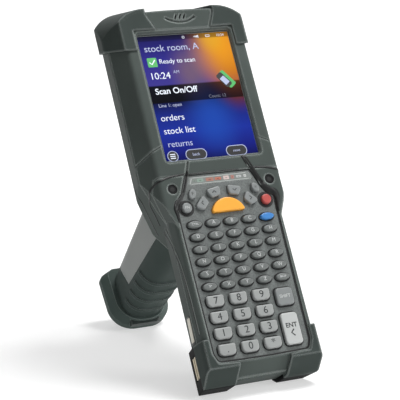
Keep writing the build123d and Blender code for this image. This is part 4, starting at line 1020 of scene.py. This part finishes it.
# And with the way out of the flank
FLANK_STRIPS = {
    "bead": ([(35.8, -2.0, 1.7), (37.0, -2.4, -1.1), (37.9, -3.0, -3.8), (38.5, -4.2, -6.2),
              (37.6, -6.2, -10.6), (35.9, -8.2, -16.8), (33.4, -13.4, -19.2), (30.3, -18.8, -23.2)],
             [1.1, 1.2, 1.2, 1.1, 1.0, 0.8, 0.7, 0.6], 0.35, ASLANT),
    "edge": ([(37.1, 7.1, -30.2), (36.4, -2.6, -26.6), (31.7, -12.0, -31.2), (27.2, -20.3, -36.2)],
             [0.8] * 4, 0.25, ASLANT),
    "groove": ([(28.6, -22.6, -25.0), (30.9, -34.7, -12.1), (31.8, -49.1, -5.1), (31.8, -59.8, -3.8),
                (31.8, -67.2, -3.2), (31.8, -78.0, -2.9), (31.8, -87.5, -2.8)],
               [0.7] * 7, 0.2, SIDEWAYS),
    # The lighter line along each flank is a painted highlight
    "highlight_line": ([(29.9, -23.7, -17.6), (31.3, -33.5, -9.9), (31.8, -46.6, -4.2), (31.8, -61.8, -1.9),
               (31.8, -74.3, -1.2), (31.8, -86.6, -1.2)], [0.6] * 6, 0.3, SIDEWAYS)}
CONTACT_BORDER = ([(30.3, -73.6, -14.4), (30.3, -80.5, -15.0), (30.3, -88.6, -15.6)], [9.6] * 3, 0.25)
CONTACT = ([(30.3, -74.6, -14.0), (30.3, -80.5, -14.5), (30.3, -87.6, -15.0)], [7.4] * 3, 0.5)
RECESS_WIDTH = 2.6 * MM
RECESS_INSET = 2.75 * MM
RECESS_DEPTH = 0.5 * MM
RECESS_CORNERS = 6


class TERMINAL_OT_trim(bpy.types.Operator):
    """Rubber straps and beads round the neck and along the flanks, a painted highlight line along each
    flank, a side contact and screw recesses
    """
    bl_idname = "terminal.trim"
    bl_label = "Trim"

    def execute(self, context):
        black = finish("strip_black", BLACK, 0.42, grain=0.6, depth=0.02, edge=0.4, amount=0.25)
        light = finish("flank_highlight", (0.17, 0.19, 0.18), 0.4, grain=0.6, depth=0.02, edge=0.4)
        ivory = finish("contact_ivory", (0.62, 0.60, 0.50), 0.4, grain=0.5, depth=0.01, edge=0.4)
        for name, strip in NECK_STRIPS.items():
            self.lay(name, *strip, OUTWARDS, black, FACE_NODES)
        for name, side in SIDES.items():
            self.lay(f"{name}_seam_bead", *SEAM_BEAD, OUTWARDS, black, FACE_NODES, side)
        for name, side in SIDES.items():
            for part, strip in FLANK_STRIPS.items():
                # The lighter material paints a highlight line along each flank
                material = light if part == "highlight_line" else black
                self.lay(f"{name}_flank_{part}", *strip, material, SIDE_NODES, side)
        left = SIDES["left"]
        self.lay("side_contact_border", *CONTACT_BORDER, SIDEWAYS, black, CONTACT_NODES, left)
        self.lay("side_contact", *CONTACT, SIDEWAYS, ivory, CONTACT_NODES, left)
        low, high = face_box("keypad_screws")
        for name, side in SIDES.items():
            recess = disc(RECESS_WIDTH, RECESS_WIDTH, INK, side * (high.x - RECESS_INSET),
                          (low.y + high.y) / 2, FACE_RISE - RECESS_DEPTH, corners=RECESS_CORNERS)
            settle(recess, f"{name}_screw_recess", "case", "gasket", black)
        return {"FINISHED"}

    def lay(self, name, points, widths, rise, normal, material, nodes, side=1):
        """One strip along points in millimetres, mirrored to the left where side is -1."""
        points = [(side * x * MM, *[c * MM for c in rest]) for x, *rest in points]
        normal = (side * normal[0], *normal[1:])
        piece = strap(points, [w * MM for w in widths], rise * MM, nodes, normal)
        settle(piece, name, "case", "gasket", material)


LINE_WIDTH = 0.35 * MM
LINE_CORNER = 0.1 * MM
TOP_LINE_CUT = 6.0 * MM
LOW_LINE_CUT = 3.0 * MM
END_LINE_WIDTH = 0.5 * MM
END_LINE_CUT = 0.6 * MM
END_LINE_INSET = 1.6 * MM
END_LINE_TURN = -0.42
LAMP_CORNER = 0.3 * MM
LAMP_UP = 0.1 * MM
LAMP_GLOW = 0.05
MARK_SHARE = 0.35
MARK_HEIGHT = 0.4 * MM
MARK_SHADE = 0.45
# Place and length as shares of the strip, height in millimetres and colour
LAMPS = [(-0.40, 0.05, 1.3, (0.18, 0.22, 0.19)), (-0.31, 0.10, 1.9, (0.22, 0.30, 0.25)),
         (-0.16, 0.12, 2.0, (0.34, 0.16, 0.12)), (-0.03, 0.10, 1.6, (0.42, 0.14, 0.09)),
         (0.10, 0.09, 2.2, (0.55, 0.44, 0.42)), (0.20, 0.05, 2.0, (0.36, 0.17, 0.14)),
         (0.30, 0.08, 1.4, (0.42, 0.44, 0.43)), (0.40, 0.04, 1.6, (0.50, 0.52, 0.50))]


class TERMINAL_OT_indicator(bpy.types.Operator):
    """Pale strip with small lamps above the keys"""
    bl_idname = "terminal.indicator"
    bl_label = "Indicator"

    def execute(self, context):
        low, high = face_box("indicator_window")
        centre, width, height = (low.y + high.y) / 2, high.x - low.x, high.y - low.y
        border = ink("indicator_border", (0.42, 0.45, 0.43))
        for name, y, length in (("top", high.y - LINE_WIDTH, width - TOP_LINE_CUT),
                                ("low", low.y + LINE_WIDTH, width - LOW_LINE_CUT)):
            line = plate(length, LINE_WIDTH, INK, LINE_CORNER, 0, y, high.z)
            self.show(line, f"indicator_{name}_line", border)
        line = plate(END_LINE_WIDTH, height - END_LINE_CUT, INK, LINE_CORNER, low.x + END_LINE_INSET,
                     centre, high.z, END_LINE_TURN)
        self.show(line, "indicator_end_line", border)
        for i, (share, length, tall, colour) in enumerate(LAMPS):
            x = share * width
            lamp = plate(length * width, tall * MM, INK, LAMP_CORNER, x, centre + LAMP_UP, high.z + INK)
            self.show(lamp, f"indicator_{i}", ink(f"indicator_{i}", colour, LAMP_GLOW))
            mark = plate(MARK_SHARE * length * width, MARK_HEIGHT, INK, LINE_CORNER, x, centre,
                         high.z + 2 * INK)
            shade = ink(f"indicator_mark_{i}", [c * MARK_SHADE for c in colour])
            self.show(mark, f"indicator_mark_{i}", shade)
        return {"FINISHED"}

    def show(self, piece, name, material):
        """One piece printed on the strip."""
        settle(piece, name, "case", "glass", material)


OPERATORS = [TERMINAL_OT_stage, TERMINAL_OT_casings, TERMINAL_OT_grip, TERMINAL_OT_inner_parts,
             TERMINAL_OT_keys, TERMINAL_OT_legends, TERMINAL_OT_key_rims, TERMINAL_OT_display,
             TERMINAL_OT_trim, TERMINAL_OT_indicator]


class TERMINAL_PT_panel(bpy.types.Panel):
    """Lists the terminal's pieces"""
    bl_idname = "TERMINAL_PT_panel"
    bl_label = "Data terminal"
    bl_space_type = "VIEW_3D"
    bl_region_type = "UI"
    bl_category = "Terminal"

    def draw(self, context):
        for operator in OPERATORS:
            self.layout.operator(operator.bl_idname)


GROUPS = {"terminal_colours": TerminalColours, "terminal_display": TerminalDisplay,
          "terminal_stage": TerminalStage}


def register():
    for cls in [*GROUPS.values(), *OPERATORS, TERMINAL_PT_panel]:
        bpy.utils.register_class(cls)
    for name, group in GROUPS.items():
        setattr(bpy.types.Scene, name, bpy.props.PointerProperty(type=group))


def unregister():
    for name in GROUPS:
        delattr(bpy.types.Scene, name)
    for cls in reversed([*GROUPS.values(), *OPERATORS, TERMINAL_PT_panel]):
        bpy.utils.unregister_class(cls)


def main():
    """Makes every piece in order."""
    register()
    bpy.ops.terminal.stage()
    bpy.ops.terminal.casings()
    bpy.ops.terminal.grip()
    bpy.ops.terminal.inner_parts()
    bpy.ops.terminal.keys()
    bpy.ops.terminal.legends()
    bpy.ops.terminal.key_rims()
    bpy.ops.terminal.display()
    bpy.ops.terminal.trim()
    bpy.ops.terminal.indicator()


if __name__ == "__main__":
    main()
